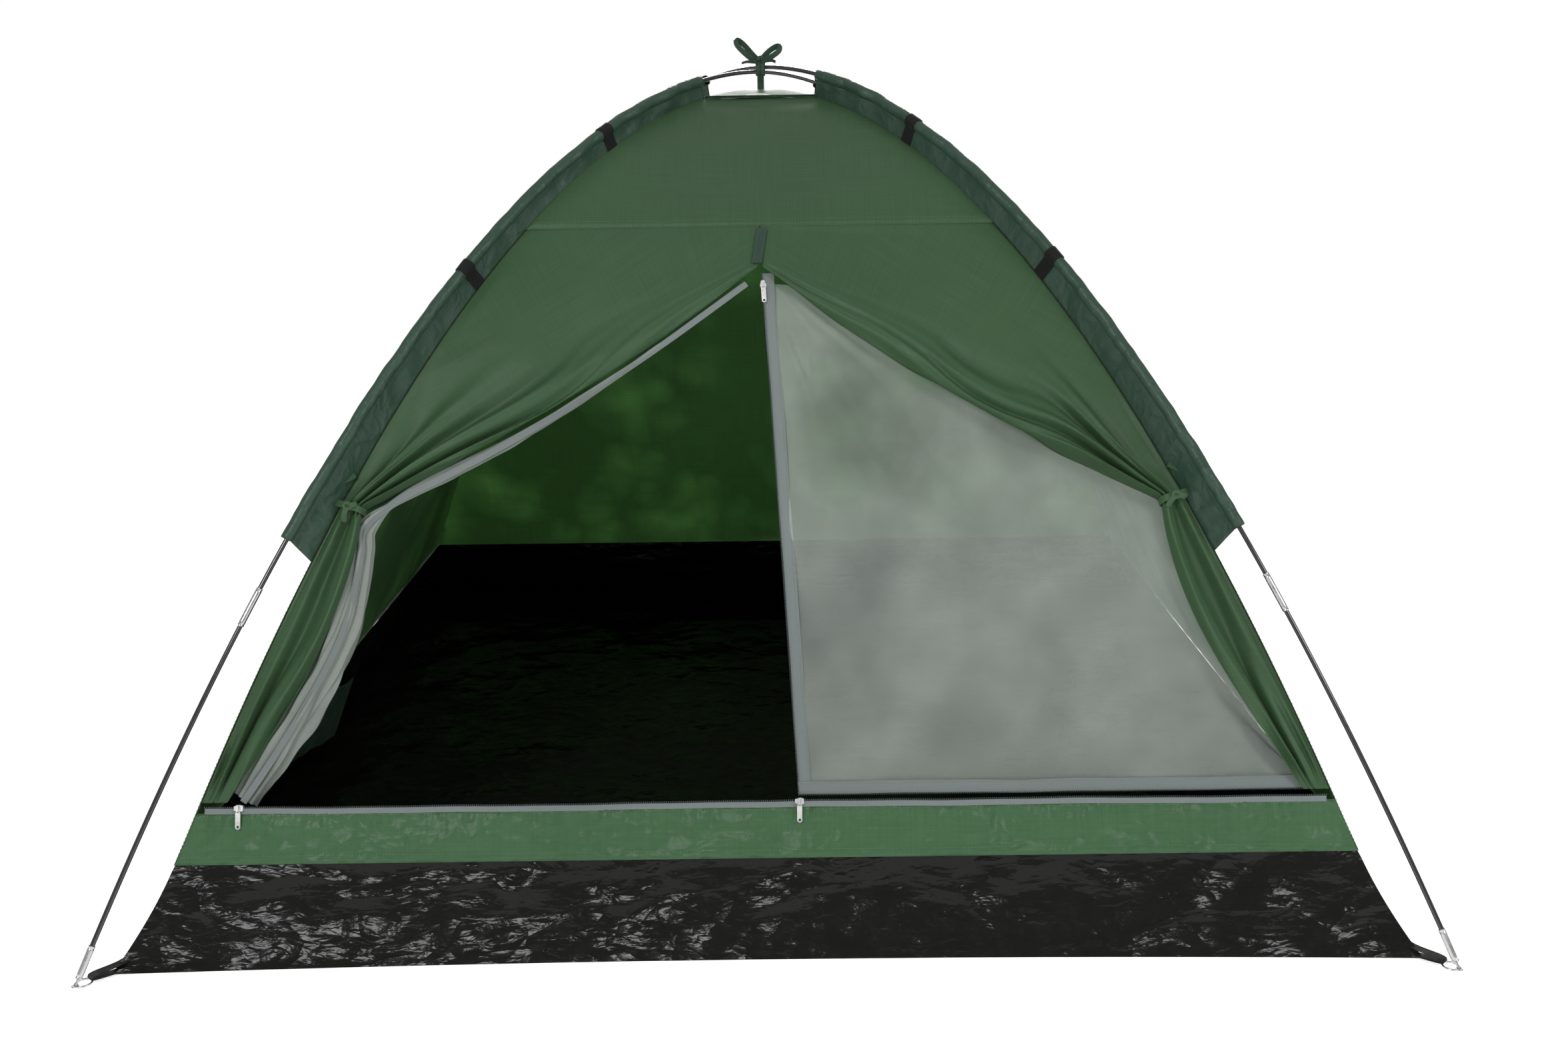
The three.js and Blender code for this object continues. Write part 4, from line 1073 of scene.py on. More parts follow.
class TENT_OT_canopy(bpy.types.Operator):
    """Side walls, back wall and front gable as one sewn sheet"""

    bl_idname = "tent.canopy"
    bl_label = "Canopy"

    def execute(self, context):
        s = sizes()
        top = float(canopy_height_at(s.vent_half))
        z = heights(s.wall_foot - s.hem, top, 92, also=(s.gable_seam,))
        f = np.linspace(-1, 1, 117)
        work = Cloth()
        for turns, seed in ((-0.5, 11), (0.5, 23), (1.0, 37), (0.0, 41)):
            rows = z[z >= s.gable_seam - 1e-6] if turns == 0 else z
            zz, ff = np.meshgrid(rows, f, indexing="ij")
            relief = wall_relief(ff, zz, seed, top)
            if turns == 0:
                relief = relief * smooth(zz, s.gable_seam, s.gable_seam + 0.12) * 0.8
            points = turned(wall_point(ff * canopy_half(zz), zz, relief), turns)
            uvs = np.stack([ff * canopy_half(zz), wall_run(zz)], -1)
            work.grid(points, uvs)
        canopy = work.piece("canopy", canopy_polyester(), merge=1e-5, wall=s.cloth,
                            outwards=(0, 0, 0.4))
        fit(canopy, "tent", "canopy_cloth", "wall_left", "wall_right", "wall_back",
            "front_gable")
        around = 8 * float(canopy_half(s.wall_foot))
        tall = float(wall_run(top) - wall_run(s.wall_foot))
        area = 3 * sheet_area(s.wall_foot, top) + sheet_area(s.gable_seam, top)
        return {"FINISHED"}


# ------------------------------------------------------------------ floor and sill
def tub_ring(sx, sy, z):
    """Where a place of the floor lies, from -1 to 1 both ways, at a height of the upstand."""
    s = sizes()
    lift = np.clip(z / s.tub_height, 0, 1)
    pull = s.edge_pull * (1 - 0.8 * lift)
    half = canopy_half(z) + s.floor_flare * (1 - lift) ** 2 - 0.0012 * smooth(lift, 0.9, 1)
    return sx * (half - pull * (1 - sy ** 2)), sy * (half - pull * (1 - sx ** 2))


class TENT_OT_tub(bpy.types.Operator):
    """Floor cloth with its upstand, in crumpled tarpaulin"""

    bl_idname = "tent.tub"
    bl_label = "Floor tub"

    def execute(self, context):
        s = sizes()
        side = np.linspace(-1, 1, 143)
        sx, sy = np.meshgrid(side, side)
        x, y = tub_ring(sx, sy, 0.0)
        near = 1 - np.maximum(np.abs(sx), np.abs(sy))
        swell = (0.0075 * creases(x, y, 5, 11, 0.08, 0.42, along=0.2, spread=0.8)
                 + 0.0018 * (1 + ripple(x, y, 6, 8, 0.10, 0.5)))
        floor = np.stack([x, y, 0.0004 + swell * smooth(near, 0, 0.05)], -1)
        work = Cloth().grid(floor, np.stack([x, y], -1))
        levels = np.linspace(0, s.tub_height + s.hem, 16)
        for turns, seed in ((0.0, 51), (0.5, 61), (1.0, 71), (-0.5, 81)):
            zz, ss = np.meshgrid(levels, side, indexing="ij")
            px, py = tub_ring(ss, -np.ones_like(ss), zz)
            run, height = px, zz
            free = smooth(1 - np.abs(ss), 0, 0.05) * smooth(zz, 0, 0.02) * smooth(
                s.tub_height - zz, 0, 0.012)
            folds = (0.015 * (creases(run, height, seed, 10, 0.05, 0.26, along=0.0,
                                      spread=0.42, sharp=1.3) - 0.45)
                     + 0.0035 * ripple(run, height, seed + 3, 6, 0.04, 0.13, along=0.6,
                                       spread=0.5))
            sag = 0.010 * np.sin(math.pi * zz / s.tub_height) * (1 - ss ** 2)
            out = free * (folds - sag)
            points = np.stack([px, py - out, zz + 0.0004], -1)
            work.grid(turned(points, turns), np.stack([run, 1.0 + height], -1))
        tub = work.piece("floor_tub", tub_film(), merge=2e-4, wall=0.0012,
                         outwards=(0, 0, 0.1))
        fit(tub, "tent", "floor_cloth", "groundsheet")
        return {"FINISHED"}


class TENT_OT_sill(bpy.types.Operator):
    """Gathered band of lighter cloth below the door"""

    bl_idname = "tent.sill_band"
    bl_label = "Sill band"

    def execute(self, context):
        s = sizes()
        low, high = s.wall_foot - s.hem, s.sill - 0.007
        z = np.linspace(low, high, 12)
        f = np.linspace(-1, 1, 420)
        zz, ff = np.meshgrid(z, f, indexing="ij")
        x = ff * (canopy_half(zz) - 0.0006)
        share = (zz - low) / (high - low)
        free = smooth(1 - np.abs(ff), 0, 0.02)
        pinch = np.sin(2 * math.pi * x / 0.024 + 4 * ripple(x, 0 * x, 3, 5, 0.08, 0.3))
        gather = 0.0026 * pinch * np.exp(-(1 - share) * 4.0) * smooth(1 - share, 0, 0.12)
        folds = 0.0095 * (creases(x, zz, 91, 9, 0.025, 0.12, along=0.3, spread=0.8) - 0.4)
        out = free * (gather + folds * np.sin(math.pi * np.clip(share, 0, 1)) ** 0.7
                      - 0.003 * (1 - ff ** 2) * (1 - share)) + 0.0012
        band = Cloth().grid(wall_point(x, zz, out), np.stack([x, zz], -1)).piece(
            "sill_band", sill_polyester(), wall=s.cloth, outwards=(0, 0, 0.2))
        fit(band, "tent", "sill_cloth", "sill_panel")
        2 * float(canopy_half(low)) * 1.05
        return {"FINISHED"}


# ------------------------------------------------------------------ door curtains
def tied_waist():
    """Half width of the door at the tie, out to the gathered cloth."""
    return float(canopy_half(sizes().tie)) - 0.040


def curtain_edge(u):
    """The zip edge of a curtain above its tie, as (x, z), from the apex at 0 to the tie at 1."""
    s = sizes()
    x = 0.004 + (tied_waist() - 0.004) * u
    z = s.apex + (s.tie - s.apex) * u - 0.024 * np.sin(math.pi * u) ** 1.1
    return x, z


def curtain_head(u):
    """The sewn edge of a curtain above its tie: along the gable, then down the corner seam."""
    s = sizes()
    corner = float(canopy_half(s.gable_seam))
    part = 0.40
    z_side = s.gable_seam - (s.gable_seam - s.tie - 0.004) * (u - part) / (1 - part)
    z = np.where(u < part, s.gable_seam, np.maximum(z_side, s.tie))
    x = np.where(u < part, 0.0006 + (corner - 0.0006) * u / part, canopy_half(z))
    return x - 0.003 * smooth(u, part * 0.7, part), z


def below_tie(u, side):
    """Inner edge of the cloth that falls from the tie to the sill, as (x, z)."""
    s = sizes()
    z = s.tie + (s.sill + 0.008 - s.tie) * u
    foot = float(canopy_half(s.sill)) - 0.046
    x = tied_waist() + (foot - tied_waist()) * u - (0.036 if side < 0 else 0.040) * np.sin(
        math.pi * u ** 0.85) ** 0.9
    return x, z


def drawn_curtain(side, seed):
    """Half of the door's cloth drawn to its corner seam and tied there."""
    u = np.linspace(0, 1, 170)
    v = np.concatenate([np.linspace(0, 0.5, 96), np.linspace(0.5, 1, 45)[1:]])
    uu, vv = np.meshgrid(u, v, indexing="ij")
    (x0, z0), (x1, z1) = curtain_edge(uu), curtain_head(uu)
    x = x0 + (x1 - x0) * vv
    z = z0 + (z1 - z0) * vv
    width = np.hypot(x1 - x0, z1 - z0)
    meander = 0.35 * ripple(uu * 0.9, vv * 0.8, seed, 5, 0.35, 0.9)
    dense = (1 - np.exp(-2.6 * vv)) / (1 - math.exp(-2.6))
    phase = 2 * math.pi * (3.1 * dense + 1.5 * meander * (1 - 0.7 * uu)) - 0.4
    near_tie = smooth(uu, 0.55, 1.0)
    reach = 0.20 + 0.25 * uu + 0.7 * near_tie
    depth = (0.0022 + 0.0105 * smooth(uu, 0.15, 0.9)) * np.exp(-(vv / reach) ** 2)
    depth = np.minimum(depth, 0.22 * width + 0.006)
    fold = np.sin(phase) + 0.35 * np.sin(2.1 * phase + 0.8 + 3 * meander)
    free = smooth(1 - vv, 0.0, 0.10) * smooth(uu, 0.0, 0.05)
    body = 0.0030 * ripple(x, z, seed + 5, 6, 0.12, 0.5, along=-0.5, spread=0.5)
    hem = -0.012 * np.exp(-vv / 0.02) * smooth(uu, 0.02, 0.2)
    roll = 0.012 * np.exp(-((vv * width - 0.022) / 0.016) ** 2) * smooth(uu, 0.05, 0.4)
    out = free * (depth * fold + body * smooth(vv, 0.1, 0.4)) + hem + roll + 0.006 * (
        1 - vv) * smooth(uu, 0.1, 0.6)
    run = np.stack([vv * width, uu * 0.80], -1)
    upper = wall_point(x, z, out)
    u2 = np.linspace(0, 1, 96)
    uu, vv = np.meshgrid(u2, v, indexing="ij")
    xi, z = below_tie(uu, side)
    xo = canopy_half(z) - 0.003
    x = xi + (xo - xi) * vv
    phase = 2 * math.pi * (1.7 * vv + 0.5 * ripple(uu * 0.5, vv * 0.8, seed + 9, 4, 0.3, 0.8)
                           * uu) - 0.4
    swell = np.sin(math.pi * np.clip(uu * 0.92 + 0.08, 0, 1)) ** 0.6
    depth = np.minimum(0.004 + 0.007 * swell, 0.35 * (xo - xi) + 0.004)
    free = smooth(1 - vv, 0.0, 0.14)
    lie = smooth(1 - uu, 0.0, 0.10)
    out = free * depth * (0.25 + 0.75 * lie) * (np.sin(phase) + 0.25 * np.sin(
        2 * phase + 0.8)) + 0.006 * (1 - vv) * lie
    lower = wall_point(x, z, out)
    points = np.concatenate([upper, lower[1:]], 0)
    uvs = np.concatenate([run, np.stack([vv * (xo - xi), 0.8 + uu * 0.45], -1)[1:]], 0)
    blend_rows = slice(len(u) - 10, len(u) + 8)
    eased = points.copy()
    for _ in range(6):
        eased[1:-1] = (eased[:-2] + 2 * eased[1:-1] + eased[2:]) / 4
    points[blend_rows] = eased[blend_rows]
    points[..., 0] *= side
    return points, uvs


class TENT_OT_curtains(bpy.types.Operator):
    """Both halves of the door cloth, drawn aside and tied back"""

    bl_idname = "tent.curtains"
    bl_label = "Door curtains"

    def execute(self, context):
        s = sizes()
        for name, side, seed in (("left", -1, 301), ("right", 1, 402)):
            points, uvs = drawn_curtain(side, seed)
            curtain = Cloth().grid(points, uvs).piece(
                f"curtain_{name}", canopy_polyester(), wall=s.cloth, outwards=(0, 0, 0.4))
            fit(curtain, "tent", "canopy_cloth", f"door_curtain_{name}")
        return {"FINISHED"}


# ------------------------------------------------------------------ sleeves
FIN_SHARE = 0.36  # of a sleeve's width, from each sewn edge to the tunnel
SEAM_BITE = 0.0026  # how far a sleeve's edges run into the corner seam
BAND_PLACES = (0.279, 0.50)  # the black bands, from the crossing in X and Y
BAND_HALF = 0.0125
BAND_LIFT = 0.0018


def sleeve_section(arch, along, lean, across):
    """Points of a sleeve. across runs from one sewn edge at 0, round the pole, to the other."""
    s = sizes()
    origin, u, v = arch.frame(along)
    reach = arch.reach(along) + SEAM_BITE
    start = math.radians(14)
    turn = np.clip((across - FIN_SHARE) / (1 - 2 * FIN_SHARE), 0, 1)
    angle = -math.pi + start + (2 * math.pi - 2 * start) * turn
    ring_u, ring_v = s.tunnel * np.cos(angle), s.tunnel * np.sin(angle)
    edge_u, edge_v = s.tunnel * math.cos(math.pi - start), s.tunnel * math.sin(math.pi - start)
    fin = np.clip(np.minimum(across, 1 - across) / FIN_SHARE, 0, 1)
    sign = np.where(across < 0.5, -1.0, 1.0)
    flat_u = -reach + (edge_u + reach) * fin
    flat_v = sign * (0.0008 + (edge_v - 0.0008) * fin ** 1.6)
    on_ring = (across > FIN_SHARE) & (across < 1 - FIN_SHARE)
    a = np.where(on_ring, ring_u, flat_u)
    b = np.where(on_ring, ring_v, flat_v) + lean * np.where(on_ring, 1.0, smooth(fin, 0, 0.7))
    return origin + a[..., None] * u + b[..., None] * v


class TENT_OT_sleeves(bpy.types.Operator):
    """Four cloth sleeves that hold the canopy to its poles, and their black bands"""

    bl_idname = "tent.sleeves"
    bl_label = "Pole sleeves"

    def execute(self, context):
        s = sizes()
        work, bands = Cloth(), Cloth()
        for number, corner in enumerate(CORNERS):
            arch = Arch(corner)
            top, end = arch.at_run(s.sleeve_top * ROOT2), arch.at_height(s.sleeve_end)
            r = np.linspace(0, 1, 220)
            across = np.concatenate([np.linspace(0, 0.36, 10), np.linspace(0.36, 0.64, 15)[1:-1],
                                     np.linspace(0.64, 1, 10)])
            rr, aa = np.meshgrid(r, across, indexing="ij")
            fin = 1 - np.clip(np.minimum(aa, 1 - aa) / FIN_SHARE, 0, 1)
            along = top + rr * (end + 0.014 * fin - 0.008 - top)
            seed = 500 + 10 * number
            gathers = 0.0016 + 0.0042 * np.exp(-(along - top) / 0.13) + 0.0014 * np.exp(
                -(end - along) / 0.08)
            lean = gathers * (ripple(along, 0 * along, seed, 9, 0.022, 0.11)
                              + 0.5 * ripple(along, fin * 0.05, seed + 1, 5, 0.05, 0.2))
            points = sleeve_section(arch, along, lean * smooth(along - top, -0.02, 0.03), aa)
            work.grid(points, np.stack([aa * 0.17, along], -1))
            for place in BAND_PLACES:
                middle = arch.at_run(place * ROOT2)
                loop = np.linspace(0.02, 0.98, 60)
                rows = middle + np.linspace(-BAND_HALF, BAND_HALF, 9)
                rr2, aa2 = np.meshgrid(rows, loop, indexing="ij")
                lean2 = np.interp(rr2, along[:, 0], lean[:, len(across) // 2])
                inner = sleeve_section(arch, rr2, lean2, aa2)
                origin, _, v = arch.frame(rr2)
                radial = inner - origin
                side = (radial * v).sum(-1, keepdims=True)
                push = np.where(np.abs(side) > 1e-6, np.sign(side), 0) * v
                push = np.where((aa2[..., None] > FIN_SHARE) & (aa2[..., None] < 1 - FIN_SHARE),
                                unit(radial), push)
                bands.grid(inner + BAND_LIFT * push, np.stack([aa2 * 0.17, rr2], -1))
        sleeves = work.piece("pole_sleeves", sleeve_polyester(), wall=s.cloth * 0.7,
                             outwards=None)
        fit(sleeves, "tent", "sleeve_cloth", *[f"sleeve_{c}" for c in CORNERS])
        straps = bands.piece("sleeve_bands", webbing_cloth(), wall=0.0009, outwards=None)
        fit(straps, "tent", "webbing")
        return {"FINISHED"}


# ------------------------------------------------------------------ poles
class TENT_OT_poles(bpy.types.Operator):
    """Fibreglass rods, their ferrules and the metal tips on their ends"""

    bl_idname = "tent.poles"
    bl_label = "Poles"

    def execute(self, context):
        s = sizes()
        reach = s.ferrule_length / 2
        inner = s.pole_radius + 0.0003
        outer = inner + 0.0010
        for pole in "ab":
            rods, metal = Cloth(), Cloth()
            ends = [c for c in CORNERS if CORNERS[c][1] == pole]
            for corner in ends:
                arch = Arch(corner)
                for i in range(3):
                    a, b = arch.joint(i) + 0.0002, arch.joint(i + 1) - 0.0002
                    path, _, _ = arch.frame(np.linspace(a, b, 44))
                    rods.tube(path, s.pole_radius, 16, up=arch.side)
                for i in range(3):
                    self.sleeve_of_metal(metal, arch, arch.joint(i) - reach,
                                         arch.joint(i) + reach, inner, outer, False)
                tip = arch.joint(3)
                self.sleeve_of_metal(metal, arch, tip - 0.026, tip + 0.026, inner, outer, True)
            a, b = Arch(ends[0]), Arch(ends[1])
            half = np.linspace(0, a.joint(0) - 0.0002, 30)
            middle = np.concatenate([a.frame(half)[0][::-1], b.frame(half)[0][1:]])
            rods.tube(middle, s.pole_radius, 16, up=a.side)
            fit(rods.piece(f"pole_{pole}_rods", glass_fibre()), "tent", "fibreglass",
                *[f"pole_{pole}_rod_{i}" for i in range(1, 8)])
            fit(metal.piece(f"pole_{pole}_ferrules", plated_steel()), "tent", "steel",
                *[f"pole_{pole}_ferrule_{i}" for i in range(1, 7)],
                *[f"pole_{pole}_tip_{i}" for i in (1, 2)])
        return {"FINISHED"}

    def sleeve_of_metal(self, work, arch, start, end, inner, outer, tip):
        """A tube of metal round a rod, with rolled edges, as one closed profile."""
        edge = 0.0005
        profile = [(start, inner), (start, outer - edge), (start + edge, outer),
                   (start + 0.003, outer), (start + 0.0034, outer - 0.0003),
                   (start + 0.0040, outer - 0.0003), (start + 0.0044, outer)]
        profile += [(p, outer) for p in np.linspace(start + 0.008, end - 0.008, 6)]
        profile += [(end - 0.0044, outer), (end - 0.0040, outer - 0.0003),
                    (end - 0.0034, outer - 0.0003), (end - 0.003, outer), (end - edge, outer),
                    (end, outer - edge), (end, inner)]
        profile += [(p, inner) for p in np.linspace(end - 0.008, start + 0.008, 6)]
        stations = np.array([p[0] for p in profile])
        radii = np.array([p[1] for p in profile])
        origin, u, v = arch.frame(stations)
        angle = 2 * math.pi * np.arange(20) / 20
        ring = (np.cos(angle)[None, :, None] * u[:, None] + np.sin(angle)[None, :, None]
                * v[:, None]) * radii[:, None, None]
        points = origin[:, None] + ring
        points = np.concatenate([points, points[:1]], 0)
        uvs = np.stack(np.broadcast_arrays(angle[None] * outer,
                                           np.append(stations, stations[0])[:, None]), -1)
        work.rings(points, uvs, caps=False)


# ------------------------------------------------------------------ corners
class TENT_OT_corners(bpy.types.Operator):
    """Pin and ring at each pole's foot, and the webbing that holds it to the floor"""

    bl_idname = "tent.corners"
    bl_label = "Corner pins and straps"

    def execute(self, context):
        pins, straps = Cloth(), Cloth()
        wire, ring = 0.0016, 0.012
        for corner in CORNERS:
            arch = Arch(corner)
            out, up = arch.out, np.array([0, 0, 1.0])
            side = arch.side
            foot = arch.at_height(0.0039)
            shank, _, _ = arch.frame(np.linspace(arch.length - 0.039, foot, 8))
            pins.tube(shank, 0.0022, 12)
            middle = shank[-1] - out * ring
            angle = np.linspace(0, 2 * math.pi, 33)[:-1]
            circle = (middle + 1.06 * ring * np.cos(angle)[:, None] * out
                      + 0.94 * ring * np.sin(angle)[:, None] * side)
            self.hoop(pins, circle, wire)
            eye = shank[-1] + out * 0.0005 + (
                0.0045 * np.cos(angle)[:, None] * out + 0.0042 * np.sin(angle)[:, None] * side)
            self.hoop(pins, eye, 0.0012)
            corner_x = (sizes().canopy_half + sizes().floor_flare) * ROOT2
            inner_wire = middle - out * ring * 1.06
            loop = curve_through([out * (corner_x - 0.055) + up * 0.034,
                                  out * (corner_x - 0.022) + up * 0.0150,
                                  inner_wire - out * 0.005 + up * 0.0085,
                                  inner_wire + out * 0.0035 + up * 0.0040,
                                  inner_wire - out * 0.005 + up * 0.0012,
                                  out * (corner_x - 0.020) + up * 0.0012], 40)
            tangent = headings(loop)
            across = np.broadcast_to(side, loop.shape)
            straps.band(loop, across, np.cross(tangent, across), 0.016, 0.0014)
        fit(pins.piece("corner_pins", plated_steel()), "tent", "steel",
            *[f"corner_pin_{c}" for c in CORNERS])
        fit(straps.piece("corner_straps", webbing_cloth()), "tent", "webbing",
            *[f"corner_strap_{c}" for c in CORNERS])
        return {"FINISHED"}

    def hoop(self, work, loop, wire):
        centre = loop.mean(axis=0)
        radial = unit(loop - centre)
        normal = unit(np.cross(radial[0], radial[len(loop) // 4]))
        angle = 2 * math.pi * np.arange(12) / 12
        points = (loop[:, None] + wire * (np.cos(angle)[None, :, None] * radial[:, None]
                                          + np.sin(angle)[None, :, None] * normal))
        points = np.concatenate([points, points[:1]], 0)
        work.rings(points, caps=False)


# ------------------------------------------------------------------ peak
class TENT_OT_peak(bpy.types.Operator):
    """Net panel at the peak, and the tape tied in a bow over the crossing poles"""

    bl_idname = "tent.peak"
    bl_label = "Vent net and crown tie"

    def execute(self, context):
        s = sizes()
        side = np.linspace(-1, 1, 61)
        fx, fy = np.meshgrid(side, side)
        half = s.vent_half + 0.002
        x, y = fx * half, fy * half
        level = np.maximum(np.abs(x), np.abs(y))
        free = smooth(1 - level / half, 0, 0.25)
        round_level = np.minimum(level, np.hypot(x, y) * 0.9)
        z = canopy_height_at(np.maximum(round_level, level * 0.9)) - 0.0015
        z = z + free * 0.0012 * ripple(x, y, 9, 6, 0.03, 0.1)
        vent = Cloth().grid(np.stack([x, y, z], -1), np.stack([x, y], -1)).piece(
            "roof_vent", door_net_pale(), outwards=(0, 0, 1.0))
        fit(vent, "tent", "net", "roof_vent_net")
        deep, wide = np.meshgrid(np.linspace(1, 0.02, 30), np.linspace(-1, 1, 25), indexing="ij")
        gx, gy = deep * wide * half, -deep * half
        gz = canopy_height_at(deep * half) + 0.0004
        flap = Cloth().grid(np.stack([gx, gy, gz], -1), np.stack([gx, gy], -1)).piece(
            "peak_cloth", canopy_polyester(), wall=s.cloth, outwards=(0, 0, 1.0))
        fit(flap, "tent", "canopy_cloth")
        hem = Cloth()
        rim = float(canopy_half(canopy_height_at(s.vent_half)))
        corners = [(-rim, -rim), (rim, -rim), (rim, rim), (-rim, rim)]
        for i in range(4):
            a, b = np.array(corners[i]), np.array(corners[(i + 1) % 4])
            flat = a + (b - a) * np.linspace(0, 1, 20)[:, None]
            z = canopy_height_at(np.full(20, s.vent_half)) + 0.0006
            path = np.column_stack([flat, z])
            normal = np.array([-(b - a)[1], (b - a)[0], 0]) / np.linalg.norm(b - a)
            up = np.array([0, 0, 1.0]) + 0.55 * normal
            up /= np.linalg.norm(up)
            across = np.cross((b - a).tolist() + [0], up)
            across = across / np.linalg.norm(across)
            hem.band(path, np.broadcast_to(across, path.shape),
                     np.broadcast_to(up, path.shape), 0.011, 0.0014)
        fit(hem.piece("vent_binding", fine_tape_cloth()), "tent", "sleeve_cloth")
        self.tie(s)
        return {"FINISHED"}

    def tie(self, s):
        """The tape: a leg up from the peak, a turn round both poles, a knot, loops and ends."""
        work = Cloth()
        width, thick = 0.013, 0.0011
        top = s.pole_height + s.pole_lift + s.pole_radius + 0.0016
        low = s.pole_height - s.pole_lift - s.pole_radius - 0.0016
        depth = 0.0095

        def ribbon(points, wide, facing, count=36, twist=0.0):
            path = curve_through(points, count)
            tangent = headings(path)
            facing = np.asarray(facing, float)
            across = unit(np.cross(tangent, facing))
            up = np.cross(across, tangent)
            if twist:
                turn = twist * smooth(np.linspace(0, 1, count))[:, None]
                across, up = (across * np.cos(turn) + up * np.sin(turn),
                              up * np.cos(turn) - across * np.sin(turn))
            work.band(path, across, up, wide, thick)

        peak = s.canopy_height
        for y in (-0.0035, 0.0035):
            ribbon([(0, y, peak - 0.004), (0, y * 0.4, peak + 0.012), (0, y * 2.2, low - 0.001)],
                   width, (0, 1, 0))
        for x in (-0.004, 0.004):
            ring = [(x, -depth, low), (x, -depth - 0.003, (low + top) / 2), (x, -depth, top),
                    (x, 0, top + 0.0012), (x, depth, top), (x, depth + 0.003, (low + top) / 2),
                    (x, depth, low), (x, 0, low - 0.0012), (x, -depth, low)]
            path = curve_through(ring, 48)[:-1]
            tangent = unit(np.roll(path, -1, 0) - np.roll(path, 1, 0))
            across = np.broadcast_to(np.array([1.0, 0, 0]), path.shape)
            work.band(path, across, np.cross(tangent, across), width * 0.8, thick, closed=True)
        knot = np.array([0.0, -0.004, top + 0.0055])
        turn = [(-0.0065, 0), (-0.004, 0.0058), (0.004, 0.0062), (0.0068, 0), (0.004, -0.0058),
                (-0.004, -0.0056)]
        lump = np.array([[x, 0.0, z] for x, z in turn])
        for turns in (0.0, 0.9):
            ring = lump.copy()
            ring[:, 0], ring[:, 1] = (lump[:, 0] * math.cos(turns),
                                      lump[:, 0] * math.sin(turns))
            loop = curve_through(np.concatenate([ring, ring[:1]]), 40)[:-1]
            loop = np.concatenate([loop, loop[:1]]) + knot
            u, v = path_axes(loop, (0, 1, 0))
            angle = 2 * math.pi * np.arange(12) / 12
            section = (np.cos(angle)[None, :, None] * u[:, None] * 0.0034
                       + np.sin(angle)[None, :, None] * v[:, None] * 0.0048)
            work.rings(loop[:, None] + section, caps=False)
        kx, ky, kz = knot
        ribbon([(kx, ky, kz), (kx - 0.014, ky - 0.004, kz + 0.003),
                (kx - 0.034, ky - 0.005, kz + 0.019), (kx - 0.046, ky - 0.001, kz + 0.033),
                (kx - 0.043, ky + 0.005, kz + 0.040), (kx - 0.030, ky + 0.006, kz + 0.030),
                (kx - 0.012, ky + 0.004, kz + 0.010), (kx, ky, kz)], 0.0125, (0.5, 1, 0.6), 60)
        ribbon([(kx, ky, kz), (kx + 0.012, ky - 0.004, kz + 0.003),
                (kx + 0.028, ky - 0.004, kz + 0.012), (kx + 0.038, ky, kz + 0.021),
                (kx + 0.034, ky + 0.006, kz + 0.028), (kx + 0.020, ky + 0.006, kz + 0.021),
                (kx + 0.006, ky + 0.003, kz + 0.008), (kx, ky, kz)], 0.0125, (-0.5, 1, 0.6), 60)
        ribbon([(kx, ky - 0.002, kz), (kx - 0.010, ky - 0.008, kz - 0.001),
                (kx - 0.026, ky - 0.012, kz - 0.001), (kx - 0.036, ky - 0.013, kz - 0.0035)],
               0.008, (0.1, 1, 0.3), 24, twist=0.9)
        ribbon([(kx, ky - 0.002, kz), (kx + 0.010, ky - 0.008, kz + 0.001),
                (kx + 0.022, ky - 0.013, kz + 0.001), (kx + 0.030, ky - 0.015, kz - 0.002)],
               0.008, (0.1, 1, 0.2), 24, twist=-0.7)
        fit(work.piece("crown_tape", fine_tape_cloth()), "tent", "sleeve_cloth", "crown_tie")


@made_once
def door_net_pale():
    return see_through_net("door_net_pale", tuple(colours().net), 0.62, 0.003)


# ------------------------------------------------------------------ net door
NET_INSET = 0.012  # the net hangs this far inside the walls
FOLD_BEFORE, FOLD_AFTER = 0.006, 0.013  # the strip on each side of the hinge, which start and end mark


class NetFrame:
    """The flat leaf of net, from its top down to its foot and its far corner."""

    def __init__(self):
        s = sizes()
        self.top = wall_point(0.004, s.apex - 0.006, -NET_INSET)
        self.foot = wall_point(0.055, s.sill + 0.009, -NET_INSET)
        self.corner = wall_point(float(canopy_half(s.sill)) - 0.026, s.sill + 0.009, -NET_INSET)
        self.down = self.foot - self.top
        self.hinge = self.corner - self.top
        normal = np.cross(self.down, self.hinge)
        self.normal = unit(normal)
        if self.normal[1] > 0:
            self.normal = -self.normal
        line = unit(self.hinge)
        inwards = self.down - line * (self.down @ line)
        self.inwards = unit(inwards)
        middle = self.top + 0.5 * self.hinge
        self.start = middle - FOLD_BEFORE * self.inwards
        self.end = middle + FOLD_AFTER * self.inwards

    def follow(self, piece):
        """Bakes the piece's placement into its mesh."""
        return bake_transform(piece, "tent", "net_leaf", start=tuple(self.start),
                        end=tuple(self.end))


